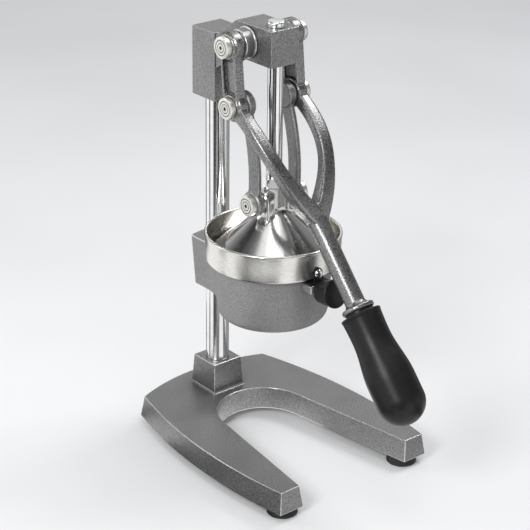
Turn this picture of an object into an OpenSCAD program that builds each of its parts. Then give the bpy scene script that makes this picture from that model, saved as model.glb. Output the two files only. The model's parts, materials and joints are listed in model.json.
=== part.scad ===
// Lever citrus juice press on a two-legged cast base.
// Millimetres. +X is right, -Y is the front and +Z is up. The origin is on the table, in the middle of the
// footprint. Sizes are measured from the press axis, the line on which the plunger moves, and at_press()
// carries every piece from there to the origin.

/* [Base] */
// Height of the rubber feet
foot_h = 8.3; // [6:0.1:12]
// Radius of a foot on the table
foot_r = 14.3; // [11:0.1:16]
// Distance of the front feet to either side
front_foot_x = 74; // [68:0.5:76]
// Distance of the front feet ahead of the press axis
front_foot_ahead = 106; // [92:0.5:106]
// Distance of the rear feet to either side
rear_foot_x = 62; // [52:0.5:64]
// Distance of the rear feet behind the press axis
rear_foot_behind = 89; // [78:0.5:92]
// Thickness of the base casting
base_h = 21.4; // [19:0.1:28]
// Distance from the press axis forward to the leg tips
base_ahead = 119.4; // [117:0.1:135]
// Distance from the press axis back to the rear corners
base_behind = 103.9; // [102:0.1:120]
// Half of the width across the leg tips
tip_hw = 86.7; // [84:0.1:96]
// Half of the width across the rear corners
rear_hw = 74.9; // [72:0.1:86]
// Bulge of the long outer edges
side_bow = 12.4; // [4:0.1:16]
// Bulge of the rear edge
rear_bow = 15.5; // [4:0.1:20]
// Radius of the round end of the gap between the legs
gap_r = 46; // [36:0.1:50]
// Distance of that round end's centre behind the press axis
gap_behind = 9; // [0:0.1:12]
// Half of the gap between the leg tips
gap_tip_hw = 65.3; // [55:0.1:66]
// Outward slope of the base's walls over their whole height
base_draft = 2.8; // [1:0.1:5]
// Half-width of the column socket at its top
socket_hw = 16.4; // [15:0.1:19]
// Height of the column socket above the base
socket_h = 30; // [20:0.1:45]
// Outward slope of the socket's walls
socket_draft = 2; // [0.5:0.1:4]
// Chamfer on the edges of the castings
edge = 1.4; // [0.6:0.1:2]

/* [Column] */
// Radius of the column
column_r = 11.2; // [9:0.1:12]
// Distance of the column behind the press axis
column_y = 83.4; // [81:0.1:95]
// Bare length of the column between the socket and the head
column_free = 271.8; // [255:0.1:320]
// Depth to which the column enters the head
column_seat = 54; // [35:0.5:58]

/* [Head] */
// Half-width and half-depth of the rear block
block_hw = 16.7; // [15:0.1:20]
// Height of the rear block
block_h = 65.5; // [60:0.1:80]
// Half-width of the nose that guides the plunger
nose_hw = 15.8; // [13:0.1:17]
// Reach of the nose ahead of the press axis
nose_ahead = 12.7; // [10:0.1:18]
// Reach of the level part of the nose behind the press axis
nose_behind = 36.6; // [35:0.1:42]
// Height of the nose
nose_h = 33.3; // [31:0.1:38]
// Step up from the rear block to the nose
nose_rise = 19.3; // [10:0.1:30]
// Drop of the bridge's underside from the nose to the rear block
bridge_drop = 19; // [10:0.1:25]
// Distance of the lever's pivot behind the press axis
pivot_y = 20.1; // [18:0.1:22]
// Depth of the lever's pivot below the top of the nose
pivot_depth = 16.3; // [15.5:0.1:17]
// Radius of the trunnion bosses
trunnion_r = 13.5; // [11:0.1:14]
// Radius of the bosses' raised roots
trunnion_root_r = 14.8; // [13.6:0.1:15.4]
// Thickness of the raised roots
trunnion_root_w = 2.6; // [1:0.1:3]

/* [Lever] */
// Distance between the lever's pivot and the knee
crank_len = 55.1; // [52:0.1:58]
// Forward lean of the crank when the lever is down
crank_lean = 5.9; // [3:0.1:9]
// Distance from the middle to the inner faces of the lever's eyes and hubs
lever_in = 29.3; // [29:0.1:34]
// Width of the eyes and hubs
eye_w = 11.4; // [9:0.1:14]
// Radius of the eyes on the trunnions
eye_r = 13.5; // [12:0.1:15]
// Radius of the knee hubs
hub_r = 13.7; // [12:0.1:15]
// Breadth of the cranks
crank_w = 20.5; // [16:0.1:23]
// Thickness of the cranks' edge flanges
flange = 2.8; // [2:0.1:4]
// Depth of the recess between the flanges
recess = 3.2; // [1:0.1:4]
// Radius of the curved arms
arm_r = 6.1; // [5:0.1:7]
// Radius of the stem
stem_r = 8.7; // [7:0.1:10]
// Distance of the crotch ahead of the lever's pivot
crotch_ahead = 80.1; // [76:0.1:90]
// Distance of the crotch below the lever's pivot
crotch_drop = 148.6; // [140:0.1:155]
// Angle between the stem and straight down
stem_angle = 41.3; // [38:0.1:45]
// Length of the stem from the crotch to its collar
stem_len = 85.2; // [75:0.1:110]
// Radius of the collar
collar_r = 15; // [12:0.1:17]
// Thickness of the collar
collar_h = 5; // [3:0.1:8]
// Length of the grip
grip_len = 109; // [95:0.5:130]
// Radius of the grip's mouth
grip_lip_r = 18.8; // [17.8:0.1:21]
// Radius of the grip's waist
grip_waist_r = 17.6; // [15:0.1:17.7]
// Radius of the grip's belly and round end
grip_belly_r = 22.1; // [19:0.1:25]
// Radius of the tang inside the grip
tang_r = 6; // [4:0.1:8]
// Angle through which the lever is raised
lever_raise = 115; // [60:1:115]

/* [Connecting rods] */
// Distance between a rod's two pivots
link_len = 92.6; // [88:0.1:97]
// Breadth of the curved bar
link_w = 14.4; // [11:0.1:16]
// Thickness of the curved bar
link_t = 5.4; // [4:0.1:6]
// Forward bow of the bar
link_bow = 6.5; // [2:0.1:9]
// Radius of the rods' eyes
link_eye_r = 12.3; // [10.5:0.1:12.6]
// Width of the upper eyes
upper_eye_w = 8.6; // [7:0.1:8.6]
// Width of the lower eyes
lower_eye_w = 6.6; // [5.5:0.1:7]

/* [Pins] */
// Radius of the pivot pins' shanks
pin_r = 6; // [4:0.1:6.5]
// Radius of the pivot pins' heads
pin_head_r = 10; // [8:0.1:11]
// Thickness of the pivot pins' heads
pin_head_h = 5.5; // [4:0.1:7]
// Radius of the crosshead pins' shanks
cross_pin_r = 4.5; // [3:0.1:5.5]
// Thickness of the washers
washer_t = 1.4; // [1:0.1:1.5]

/* [Plunger] */
// Radius of the plunger rod
rod_r = 7.1; // [6:0.1:7.4]
// Radius of the stop button on the rod
cap_r = 8.3; // [7.6:0.1:10]
// Height of the stop button
cap_h = 5.2; // [3:0.1:7]
// Half-width of the crosshead block
cross_hw = 16.5; // [13:0.1:16.7]
// Half-depth of the crosshead block
cross_hd = 11; // [9:0.1:13]
// Radius of the round post round the rod
post_r = 12.4; // [11.4:0.1:13]
// Height of the post above the crosshead's pins
post_rise = 14.3; // [12:0.1:18]
// Half-width of the jam nut across its flats
nut_af_half = 11; // [9.5:0.1:12]
// Height of the jam nut
nut_h = 8; // [6:0.1:10]
// Gap between the press cone's rim and the wall of the cup's ring
cone_gap = 4.5; // [4:0.1:9]
// Radius of the press cone where it meets the block
cone_top_r = 16; // [14:0.1:18]
// Height of the press cone
cone_h = 37; // [33:0.1:38]
// Depth of the press cone's rim below the crosshead's pins
cone_drop = 50.7; // [49:0.1:56]
// Wall of the press cone, square to its slope
cone_wall = 4.6; // [3:0.1:5]
// Number of ribs inside the press cone
cone_ribs = 8; // [4:1:12]

/* [Cup] */
// Outer radius of the cup's ring
cup_r = 63.5; // [61:0.1:68]
// Height of the cup's ring
cup_ring_h = 26.5; // [20:0.1:34]
// Reduction of the ring's radius from its rim to its foot
ring_taper = 1.1; // [0.5:0.1:2]
// Height of the cup's rim above the rim of the press cone
cup_above_cone = 19.2; // [14:0.1:20]
// Sheet thickness of the cup and the strainer
sheet = 1.2; // [0.8:0.1:1.5]
// Depth of the cup's skirt below its shoulder
skirt_h = 11; // [6:0.1:16]
// Height of the cup's conical floor
funnel_h = 18; // [12:0.1:22]
// Outer radius of the spout
spout_r = 12.2; // [9:0.1:14]
// Reach of the spout below the holder
spout_below = 7.6; // [3:0.1:14]
// Distance from the wall of the cup's ring to the strainer's cone
strainer_flange = 13.2; // [12:0.1:17]
// Radius of the strainer's holes
strainer_hole_r = 1.5; // [1:0.1:2]
// Rows of holes in the strainer
strainer_rows = 4; // [2:1:5]

/* [Cup handle] */
// Half-width of the bracket's shelf
bracket_hw = 11; // [10:0.1:12]
// Thickness of the bracket's sheet
shelf_t = 1.4; // [1:0.1:2]
// Radius of the knob at its inner end
knob_in_r = 10.1; // [9:0.1:11]
// Largest radius of the knob
knob_out_r = 13.4; // [11:0.1:14]
// Length of the knob
knob_len = 21.5; // [17:0.1:23]
// Upward tilt of the knob
knob_tilt = 15; // [5:0.5:20]
// Radius of the rivet's head
rivet_r = 4.4; // [3:0.1:5]

/* [Holder] */
// Overhang of the cup's ring over the bowl
shoulder_w = 6.9; // [4:0.1:9]
// Reduction of that radius at the bottom
bowl_taper = 4; // [1:0.1:6]
// Height of the bowl
bowl_h = 56.3; // [50:0.1:70]
// Wall of the bowl
bowl_wall = 4; // [3:0.1:5]
// Radius of the bowl's lower edge
bowl_round = 9; // [4:0.1:12]
// Half-width of the bracket round the column, at its top
arm_top_hw = 21; // [19:0.1:24]
// Half-width of the bracket round the column, at its bottom
arm_bottom_hw = 18; // [16:0.1:20]
// Depth of the bracket's top below the bowl's rim
arm_drop = 4.9; // [3:0.1:12]
// Thickness of the bracket behind the column's axis
arm_behind = 14.6; // [14:0.1:20]
// Bulge of the bracket's rear face
arm_bow = 3.5; // [1:0.1:6]
// Radius of the fillets between the bracket and the bowl
arm_fillet = 50; // [40:0.5:56]

/* [Fits] */
// Radial clearance of the running fits
run_gap = 0.05; // [0.02:0.01:0.1]
// Clearance between faces that slide past each other
side_gap = 0.3; // [0.2:0.05:0.5]
// Clearance of the spout and the skirt in the holder
drop_gap = 1; // [0.5:0.1:1.5]

/* [Hidden] */
$fn = 96;
eps = 0.01;
arc_steps = 20;

// Standard fasteners
foot_screw_r = 2.5;
foot_screw_head_r = 5;
foot_screw_head_h = 3;
foot_screw_grip = 12;
bolt_r = 5;
bolt_af_half = 8.5;
bolt_head_h = 6.4;
bolt_washer_t = 1.6;
bolt_washer_r = 10.5;
bolt_grip = 24;
bolt_pocket_r = 12;
bolt_pocket_h = 9;
socket_floor = 6;
set_screw_r = 4;
set_screw_key_r = 2.3;
set_screw_key_depth = 3;
rivet_shank_r = 1.8;

// Heights, from the table up
base_top = foot_h + base_h;
socket_top = base_top + socket_h;
column_bottom = foot_h + bolt_pocket_h + socket_floor;
block_z = socket_top + column_free;
nose_top = block_z + block_h + nose_rise;
nose_z = nose_top - nose_h;
column_top = block_z + column_seat;

// Pivots of the toggle, as points in the side plane: distance behind the press axis, height
pivot = [pivot_y, nose_top - pivot_depth];
knee = pivot - crank_len * [sin(crank_lean), cos(crank_lean)];
cross_z = knee[1] - sqrt(link_len * link_len - knee[0] * knee[0]);
cross_at = [0, cross_z];
link_lean = atan2(knee[0], knee[1] - cross_z);

// The same pivots with the lever raised
raised_knee = pivot + crank_len * [-sin(crank_lean + lever_raise), -cos(crank_lean + lever_raise)];
raised_cross_z = raised_knee[1] - sqrt(link_len * link_len - raised_knee[0] * raised_knee[0]);
raised_lean = atan2(raised_knee[0], raised_knee[1] - raised_cross_z);
stroke = raised_cross_z - cross_z;

// Slabs across the width, from the middle outwards
lever_out = lever_in + eye_w;
pin_seat = lever_out + side_gap;
link_out = lever_in - side_gap - washer_t;
upper_eye_in = link_out - upper_eye_w;
bar_out = link_out - 1.5;
bar_in = bar_out - link_t;
lower_eye_out = link_out - side_gap;
lower_eye_in = lower_eye_out - lower_eye_w;
cross_washer_out = lower_eye_in - side_gap;
cross_washer_in = cross_washer_out - washer_t;
trunnion_end = lever_in - side_gap - washer_t;

// Stem and grip
crotch = [0, pivot[0] - crotch_ahead, pivot[1] - crotch_drop];
stem_dir = [0, -sin(stem_angle), -cos(stem_angle)];
grip_at = stem_len + collar_h;
grip_neck_h = 2.4;
grip_lip_h = 1.2;
grip_waist_at = 25;
grip_belly_at = 0.62;
grip_ball_at = grip_len - grip_belly_r;
grip_ball = crotch + (grip_at + grip_ball_at) * stem_dir;
tang_len = grip_ball_at - 8;

// Curved arms: where they leave the hubs and how they come in to the crotch
arm_x = lever_in + eye_w / 2;
arm_root_w = eye_w / 2 - 0.5;
arm_root_r = arm_r + 1;
arm_lead = [1, -50, -25.5];
arm_tail = [31.2, 15.2, 38.3];
arm_rings = 22;
arm_sides = 24;
arm_power = 3.2;

// Press cone, cup and holder, hung from the crosshead's height
cone_rim_z = cross_z - cone_drop;
cone_top_z = cone_rim_z + cone_h;
cup_rim_z = cone_rim_z + cup_above_cone;
cup_ring_z = cup_rim_z - cup_ring_h;
shoulder_z = cup_ring_z - 0.8;
ring_foot_r = cup_r - ring_taper;
cone_rim_r = cup_r - ring_taper * cup_above_cone / cup_ring_h - sheet - cone_gap;
cone_slope = cone_h / (cone_rim_r - cone_top_r);
cone_roof = 6;
cone_roof_z = cone_top_z - cone_roof;
cone_in_r = cone_rim_r - cone_wall / sin(atan(cone_slope));
cone_roof_r = cone_in_r - (cone_roof_z - cone_rim_z) / cone_slope;
rod_bottom = cross_z - 14;
cup_in_r = cup_r - sheet;
ring_foot_in_r = ring_foot_r - sheet;
bowl_r = ring_foot_r - shoulder_w;
bowl_z = shoulder_z - bowl_h;
bowl_in_r = bowl_r - bowl_wall;
skirt_r = bowl_in_r - bowl_taper * skirt_h / bowl_h - drop_gap;
spout_z = bowl_z - spout_below;
strainer_z = shoulder_z + sheet;
strainer_r = ring_foot_in_r - strainer_flange;
strainer_out_r = ring_foot_in_r - 2.9;
strainer_flat_r = 16;
arm_top = shoulder_z - arm_drop;
arm_fillet_y = sqrt(pow(bowl_r + arm_fillet, 2) - pow(arm_top_hw + arm_fillet, 2));
knob_y = cup_r + 5.4;
lug_in = 5.9;
lug_w = 4.6;
lug_h = 8.3;
lug_drop = 3.9;
lug_z = shoulder_z - lug_drop;
lug_reach = knob_y - 2.4;

// Cup handle
shelf_z = lug_z + 0.2;
rivet_z = cup_ring_z + 5;
tab_hw = 5.2;
tab_r = ring_r_at(rivet_z + tab_hw) + side_gap;
handle_y = tab_r + shelf_t;
knob_z = shoulder_z - 10.8;
neck_r = 5.4;
stud_r = 3.5;
stud_len = knob_len / 2;

// Middle of the footprint
front_reach = grip_belly_r - grip_ball[1];
rear_reach = base_behind + rear_bow + base_draft;
press_y = (front_reach - rear_reach) / 2;

echo(press_y = press_y, pivot = pivot, knee = knee, cross_z = cross_z, stroke = stroke);
echo(link_turn = link_lean - raised_lean, slide_ratio = stroke / 1000 / (lever_raise * PI / 180));
echo(link_ratio = (link_lean - raised_lean) / lever_raise, top = nose_top + side_gap + cap_h);

// Geometry helpers

function unit(v) = v / norm(v);

function polar(r, a) = r * [cos(a), sin(a)];

function arc(c, r, a, b, n = arc_steps) = [for (i = [0 : n]) c + polar(r, a + (b - a) * i / n)];

// Points from p to q on an arc that bulges by h to the right of the way from p to q
function bowed(p, q, h, n = arc_steps) =
    let (
        half = norm(q - p) / 2,
        r = (half * half + h * h) / (2 * h),
        u = unit(q - p),
        c = (p + q) / 2 - (r - h) * [u[1], -u[0]],
        a = atan2(p[1] - c[1], p[0] - c[0]),
        sweep = 2 * asin(half / r)
    ) arc(c, r, a, a + sweep, n);

// A counter-clockwise outline drawn in by d, with mitred corners
function inset(p, d) = [
    for (i = [0 : len(p) - 1])
        let (
            u = unit(p[i] - p[(i + len(p) - 1) % len(p)]),
            v = unit(p[(i + 1) % len(p)] - p[i]),
            nu = [-u[1], u[0]],
            m = unit(nu + [-v[1], v[0]])
        ) p[i] + m * d / (m * nu)
];

function raised(p, z) = [for (q = p) [q[0], q[1], z]];

function sideways(p, x) = [for (q = p) [x, q[0], q[1]]];

function bezier(p, t) =
    pow(1 - t, 3) * p[0] + 3 * pow(1 - t, 2) * t * p[1] + 3 * (1 - t) * t * t * p[2] + t * t * t * p[3];

function bezier_dir(p, t) = unit(
    pow(1 - t, 2) * (p[1] - p[0]) + 2 * (1 - t) * t * (p[2] - p[1]) + t * t * (p[3] - p[2])
);

function ease(t) = (1 - cos(180 * t)) / 2;

// Solid through rings that all have the same even number of points, counter-clockwise about the way they
// advance. Each end is closed by strips between point i and point n - 1 - i.
module loft(rings) {
    n = len(rings[0]);
    last = n * (len(rings) - 1);
    sides = [
        for (k = [0 : len(rings) - 2], i = [0 : n - 1])
            let (a = k * n + i, b = k * n + (i + 1) % n)
                each [[a, a + n, b + n], [a, b + n, b]]
    ];
    ends = [
        for (i = [0 : n / 2 - 2])
            let (j = n - 1 - i)
                each [
                    [i, i + 1, j - 1], [i, j - 1, j],
                    [last + j, last + j - 1, last + i + 1], [last + j, last + i + 1, last + i]
                ]
    ];
    polyhedron([for (r = rings) each r], concat(sides, ends));
}

// Plate with chamfered rims whose outline lies in the side plane
module slab(outline, x0, x1) {
    loft([
        sideways(inset(outline, edge), x0),
        sideways(outline, x0 + edge),
        sideways(outline, x1 - edge),
        sideways(inset(outline, edge), x1)
    ]);
}

// Turns a shape that stands on the XY plane so that its axis runs along +X through a point of the side plane
module across(p, x0) {
    translate([x0, p[0], p[1]])
        rotate([90, 0, 90])
            children();
}

module both_sides() {
    children();
    mirror([1, 0, 0])
        children();
}

// Disc with chamfered rims
module disc(r, h, c) {
    rotate_extrude()
        polygon([[0, 0], [r - c, 0], [r, c], [r, h - c], [r - c, h], [0, h]]);
}

module hex_prism(af_half, h, c) {
    intersection() {
        cylinder(r = af_half / cos(30), h = h, $fn = 6);
        disc(af_half / cos(30) - 0.2, h, c);
    }
}

module at_press() {
    translate([0, press_y, 0])
        children();
}

module along_stem(t) {
    translate(crotch + t * stem_dir)
        rotate([180 - stem_angle, 0, 0])
            children();
}

// Base

function mirrored(p) = [for (i = [len(p) - 1 : -1 : 0]) [-p[i][0], p[i][1]]];

// Outer edge of the horseshoe, drawn out by g, from the right tip round the rear to the left tip
function outer_edge(g) =
    let (
        right = bowed([tip_hw + g, -base_ahead - g], [rear_hw + g, base_behind + g], side_bow),
        rear = bowed([rear_hw + g, base_behind + g], [-rear_hw - g, base_behind + g], rear_bow)
    ) concat(right, [for (i = [1 : arc_steps - 1]) rear[i]], mirrored(right));

// Edge of the gap with as many points: straight from each tip to where it touches the round end
function gap_edge(g) =
    let (
        tip = [gap_tip_hw - g, -base_ahead - g],
        centre = [0, gap_behind],
        r = gap_r - g,
        d = tip - centre,
        touch = atan2(d[1], d[0]) + acos(r / norm(d)),
        m = round(0.6 * arc_steps),
        right = [for (i = [0 : m - 1]) tip + (centre + polar(r, touch) - tip) * i / m]
    ) concat(right, arc(centre, r, touch, 180 - touch, 3 * arc_steps - 2 * m), mirrored(right));

// The base's walls from the top down: how far they are drawn out, and at what height
base_levels = [
    [-edge, base_top], [-0.3 * edge, base_top - 0.3 * edge],
    [base_draft * edge / base_h, base_top - edge], [base_draft, foot_h]
];

function square_outline(hw, c) = [
    [hw - c, -hw], [hw, -hw + c], [hw, hw - c], [hw - c, hw],
    [-hw + c, hw], [-hw, hw - c], [-hw, -hw + c], [-hw + c, -hw]
];

// Sections across the horseshoe, carried from the right tip to the left one
module horseshoe() {
    outer = [for (level = base_levels) raised(outer_edge(level[0]), level[1])];
    inner = [for (level = base_levels) raised(gap_edge(level[0]), level[1])];
    last = len(base_levels) - 1;
    loft([
        for (i = [0 : 3 * arc_steps])
            concat([for (k = [0 : last]) outer[k][i]], [for (k = [last : -1 : 0]) inner[k][i]])
    ]);
}

module foot_places() {
    for (side = [-1, 1]) {
        translate([side * front_foot_x, -front_foot_ahead, 0])
            children();
        translate([side * rear_foot_x, rear_foot_behind, 0])
            children();
    }
}

module base() {
    color("dimgray") at_press() difference() {
        union() {
            horseshoe();
            translate([0, column_y, 0])
                loft([
                    raised(square_outline(socket_hw + socket_draft, edge), base_top - 1),
                    raised(square_outline(socket_hw, edge), socket_top - edge),
                    raised(square_outline(socket_hw - edge, edge), socket_top)
                ]);
        }
        translate([0, column_y, 0]) {
            translate([0, 0, column_bottom])
                cylinder(r = column_r, h = socket_h + base_h);
            translate([0, 0, socket_top - edge])
                cylinder(r1 = column_r, r2 = column_r + edge, h = edge + eps);
            translate([0, 0, foot_h - eps])
                cylinder(r = bolt_r + side_gap, h = base_h);
            translate([0, 0, foot_h - eps])
                cylinder(r = bolt_pocket_r, h = bolt_pocket_h + eps);
        }
        foot_places()
            translate([0, 0, foot_h - eps])
                cylinder(r = foot_screw_r, h = foot_screw_grip + 1, $fn = 48);
    }
}

module foot() {
    lip = 1;
    top_r = foot_r - 1.8;
    floor_h = foot_h / 2;
    color([0.08, 0.08, 0.08]) at_press() difference() {
        rotate_extrude()
            polygon([
                [0, 0], [foot_r - lip, 0], [foot_r, lip], [foot_r, 2 * lip],
                [top_r, foot_h - lip], [top_r, foot_h], [0, foot_h]
            ]);
        translate([0, 0, -eps])
            cylinder(r = foot_screw_head_r + lip, h = floor_h + eps);
        cylinder(r = foot_screw_r, h = foot_h + eps, $fn = 48);
    }
}

module foot_front_left() {
    translate([-front_foot_x, -front_foot_ahead, 0])
        foot();
}

module foot_front_right() {
    translate([front_foot_x, -front_foot_ahead, 0])
        foot();
}

module foot_rear_left() {
    translate([-rear_foot_x, rear_foot_behind, 0])
        foot();
}

module foot_rear_right() {
    translate([rear_foot_x, rear_foot_behind, 0])
        foot();
}

module foot_screws() {
    head_z = foot_h / 2 - foot_screw_head_h;
    color("silver") at_press() foot_places() {
        translate([0, 0, head_z])
            disc(foot_screw_head_r, foot_screw_head_h, 0.6, $fn = 48);
        translate([0, 0, foot_h / 2])
            cylinder(r = foot_screw_r, h = foot_h / 2 + foot_screw_grip, $fn = 48);
    }
}

// Column

module column() {
    color("silver") at_press() translate([0, column_y, column_bottom])
        difference() {
            disc(column_r, column_top - column_bottom, 1);
            translate([0, 0, -eps])
                cylinder(r = bolt_r, h = bolt_grip + 2);
        }
}

module column_washer() {
    color("silver") at_press() translate([0, column_y, foot_h + bolt_pocket_h - bolt_washer_t])
        difference() {
            cylinder(r = bolt_washer_r, h = bolt_washer_t);
            translate([0, 0, -eps])
                cylinder(r = bolt_r + side_gap, h = bolt_washer_t + 2 * eps);
        }
}

module column_bolt() {
    seat_z = foot_h + bolt_pocket_h - bolt_washer_t;
    color("gray") at_press() translate([0, column_y, seat_z]) {
        translate([0, 0, -bolt_head_h])
            hex_prism(bolt_af_half, bolt_head_h, 0.8);
        cylinder(r = bolt_r, h = bolt_washer_t + socket_floor + bolt_grip);
    }
}

// Set screw with a hexagonal key hole, from a rear face forward to the column
module set_screw(rear_y, z) {
    length = rear_y - column_y - column_r;
    translate([0, rear_y, z])
        rotate([90, 0, 0])
            difference() {
                disc(set_screw_r, length, 0.4, $fn = 48);
                translate([0, 0, -eps])
                    cylinder(r = set_screw_key_r, h = set_screw_key_depth, $fn = 6);
            }
}

module set_screw_hole(rear_y, z) {
    translate([0, rear_y + eps, z])
        rotate([90, 0, 0])
            cylinder(r = set_screw_r, h = rear_y - column_y, $fn = 48);
}

// Holder

function bowl_r_at(z) = bowl_r - bowl_taper * (shoulder_z - z) / bowl_h;

// Outline of the holder's bracket where the bowl's radius is r: fillets off the bowl, flat flanks and a
// bowed rear face. The fillets start just inside the bowl and meet the flanks at one distance at all heights.
function arm_outline(r, hw, behind, g) =
    let (
        w = hw - g,
        from_r = r - 0.5,
        rear = column_y + behind - g,
        fillet = (w * w + arm_fillet_y * arm_fillet_y - from_r * from_r) / (2 * (from_r - w)),
        centre = [w + fillet, arm_fillet_y],
        right = arc(centre, fillet, 180 + atan2(centre[1], centre[0]), 180, 12),
        corner = 2
    ) concat(
        right,
        [[w, rear - corner]],
        bowed([w - corner, rear], [corner - w, rear], arm_bow, 11),
        [[-w, rear - corner]],
        mirrored(right)
    );

module holder_arm() {
    low = bowl_z + edge;
    high = arm_top - edge;
    loft([
        raised(arm_outline(bowl_r_at(bowl_z) - edge, arm_bottom_hw, arm_behind - 2, edge), bowl_z),
        raised(arm_outline(bowl_r_at(low), arm_bottom_hw, arm_behind - 2, 0), low),
        raised(arm_outline(bowl_r_at(high), arm_top_hw, arm_behind, 0), high),
        raised(arm_outline(bowl_r_at(high), arm_top_hw, arm_behind, edge), arm_top)
    ]);
}

module bowl_body() {
    foot_radius = bowl_r_at(bowl_z + bowl_round);
    rotate_extrude()
        polygon(concat(
            [[0, bowl_z]],
            arc([foot_radius - bowl_round, bowl_z + bowl_round], bowl_round, -90, 0, 8),
            [[bowl_r, shoulder_z], [0, shoulder_z]]
        ));
}

module bowl_cavity() {
    depth = bowl_h - bowl_wall - 1;
    floor_r = bowl_in_r - bowl_taper * depth / bowl_h;
    rotate_extrude()
        polygon(concat(
            [[0, shoulder_z - depth]],
            arc([floor_r - 6, shoulder_z - depth + 6], 6, -90, 0, 6),
            [[bowl_in_r, shoulder_z], [bowl_in_r, shoulder_z + 1], [0, shoulder_z + 1]]
        ));
    translate([0, 0, bowl_z - eps])
        cylinder(r = spout_r + drop_gap, h = bowl_h);
}

module holder_lug() {
    low = lug_z - lug_h;
    outline = [[-lug_reach, low], [-bowl_in_r, low], [-bowl_in_r, lug_z], [-lug_reach, lug_z]];
    slab(outline, lug_in, lug_in + lug_w);
}

module holder() {
    screw_z = (bowl_z + arm_top) / 2;
    color("dimgray") at_press() difference() {
        union() {
            bowl_body();
            holder_arm();
            both_sides()
                holder_lug();
        }
        bowl_cavity();
        translate([0, column_y, bowl_z - eps])
            cylinder(r = column_r, h = bowl_h);
        set_screw_hole(column_y + arm_behind + arm_bow, screw_z);
    }
}

module holder_screw() {
    color("gray") at_press()
        set_screw(column_y + arm_behind, (bowl_z + arm_top) / 2);
}

// Head

head_block = [
    [column_y - block_hw, block_z], [column_y + block_hw, block_z],
    [column_y + block_hw, block_z + block_h], [column_y - block_hw, block_z + block_h]
];
head_nose = [
    [-nose_ahead, nose_z], [nose_behind, nose_z],
    [column_y - block_hw, nose_z - bridge_drop], [column_y, nose_z - bridge_drop],
    [column_y, block_z + block_h - edge], [column_y - block_hw, block_z + block_h - edge],
    [nose_behind, nose_top], [-nose_ahead, nose_top]
];
head_screw_heights = [block_z + 15, block_z + 38];

module trunnion() {
    across(pivot, nose_hw - 5)
        disc(trunnion_r, trunnion_end - nose_hw + 5, 0.8);
    across(pivot, nose_hw - 5)
        disc(trunnion_root_r, trunnion_root_w + 5, 0.8);
}

module head() {
    color("dimgray") at_press() difference() {
        union() {
            slab(head_block, -block_hw, block_hw);
            slab(head_nose, -nose_hw, nose_hw);
            both_sides()
                trunnion();
        }
        translate([0, column_y, block_z - eps])
            cylinder(r = column_r, h = column_seat + eps);
        translate([0, 0, nose_z - eps])
            cylinder(r = rod_r + run_gap, h = nose_h + 2 * eps);
        across(pivot, -trunnion_end - eps)
            cylinder(r = pin_r, h = 2 * (trunnion_end + eps));
        for (z = head_screw_heights)
            set_screw_hole(column_y + block_hw, z);
    }
}

module head_screws() {
    color("gray") at_press()
        for (z = head_screw_heights)
            set_screw(column_y + block_hw, z);
}

// Pivot pins

// Headed pin: grooved face with a round centre socket, shank running inwards
module headed_pin(shank_r, seat_x, end_x, p) {
    groove_r = pin_head_r * 0.55;
    groove_w = 0.9;
    groove_d = 0.5;
    centre_r = 1.7;
    centre_d = 1.6;
    face = seat_x + pin_head_h;
    difference() {
        union() {
            across(p, seat_x)
                disc(pin_head_r, pin_head_h, 0.7);
            across(p, end_x)
                disc(shank_r, seat_x - end_x + 1, 0.5);
        }
        across(p, face - groove_d)
            difference() {
                cylinder(r = groove_r + groove_w, h = 1);
                translate([0, 0, -eps])
                    cylinder(r = groove_r, h = 1 + 2 * eps);
            }
        across(p, face - centre_d)
            cylinder(r = centre_r, h = 2, $fn = 32);
    }
}

module ring_washer(r, bore_r, p, x0) {
    across(p, x0)
        difference() {
            disc(r, washer_t, 0.3);
            translate([0, 0, -eps])
                cylinder(r = bore_r, h = washer_t + 2 * eps);
        }
}

module trunnion_pin() {
    color("gainsboro") at_press()
        headed_pin(pin_r, pin_seat, 2, pivot);
}

module trunnion_pin_right() {
    trunnion_pin();
}

module trunnion_pin_left() {
    mirror([1, 0, 0])
        trunnion_pin();
}

module trunnion_washers() {
    color("silver") at_press() both_sides()
        ring_washer(trunnion_r - 1, pin_r, pivot, trunnion_end);
}

module knee_pin() {
    color("gainsboro") at_press()
        headed_pin(pin_r, lever_out, lever_in, knee);
}

module knee_pin_right() {
    knee_pin();
}

module knee_pin_left() {
    mirror([1, 0, 0])
        knee_pin();
}

module crosshead_pin() {
    color("gainsboro") at_press()
        headed_pin(cross_pin_r, link_out, rod_r + 1, cross_at);
}

module crosshead_pin_right() {
    crosshead_pin();
}

module crosshead_pin_left() {
    mirror([1, 0, 0])
        crosshead_pin();
}

// Lever

// Crank with flanges along its two edges and a recess in each face
module crank() {
    in = lever_in + 0.8;
    out = lever_out - 0.8;
    translate([0, pivot[0], pivot[1]])
        rotate([-crank_lean, 0, 0])
            difference() {
                translate([in, -crank_w / 2, -crank_len])
                    cube([out - in, crank_w, crank_len]);
                for (x = [in - recess, out - recess])
                    translate([x, flange - crank_w / 2, -crank_len])
                        cube([2 * recess, crank_w - 2 * flange, crank_len]);
            }
}

function arm_path() = [
    [arm_x, knee[0], knee[1]],
    [arm_x, knee[0], knee[1]] + arm_lead,
    crotch + arm_tail,
    crotch
];

// Radius of the arm at a share t of its way from the knee to the crotch, given its radius at the knee
function arm_r_at(root, t) =
    arm_r + (root - arm_r) * ease(max(0, 1 - t / 0.3)) + (stem_r - 0.5 - arm_r) * ease(max(0, 2 * t - 1));

// Rounded square of half-width 1, the section of the arms and the stem
function rounded_square() = [
    for (i = [0 : arm_sides - 1])
        let (a = 360 * i / arm_sides)
            polar(pow(pow(abs(cos(a)), arm_power) + pow(abs(sin(a)), arm_power), -1 / arm_power), a)
];

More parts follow.
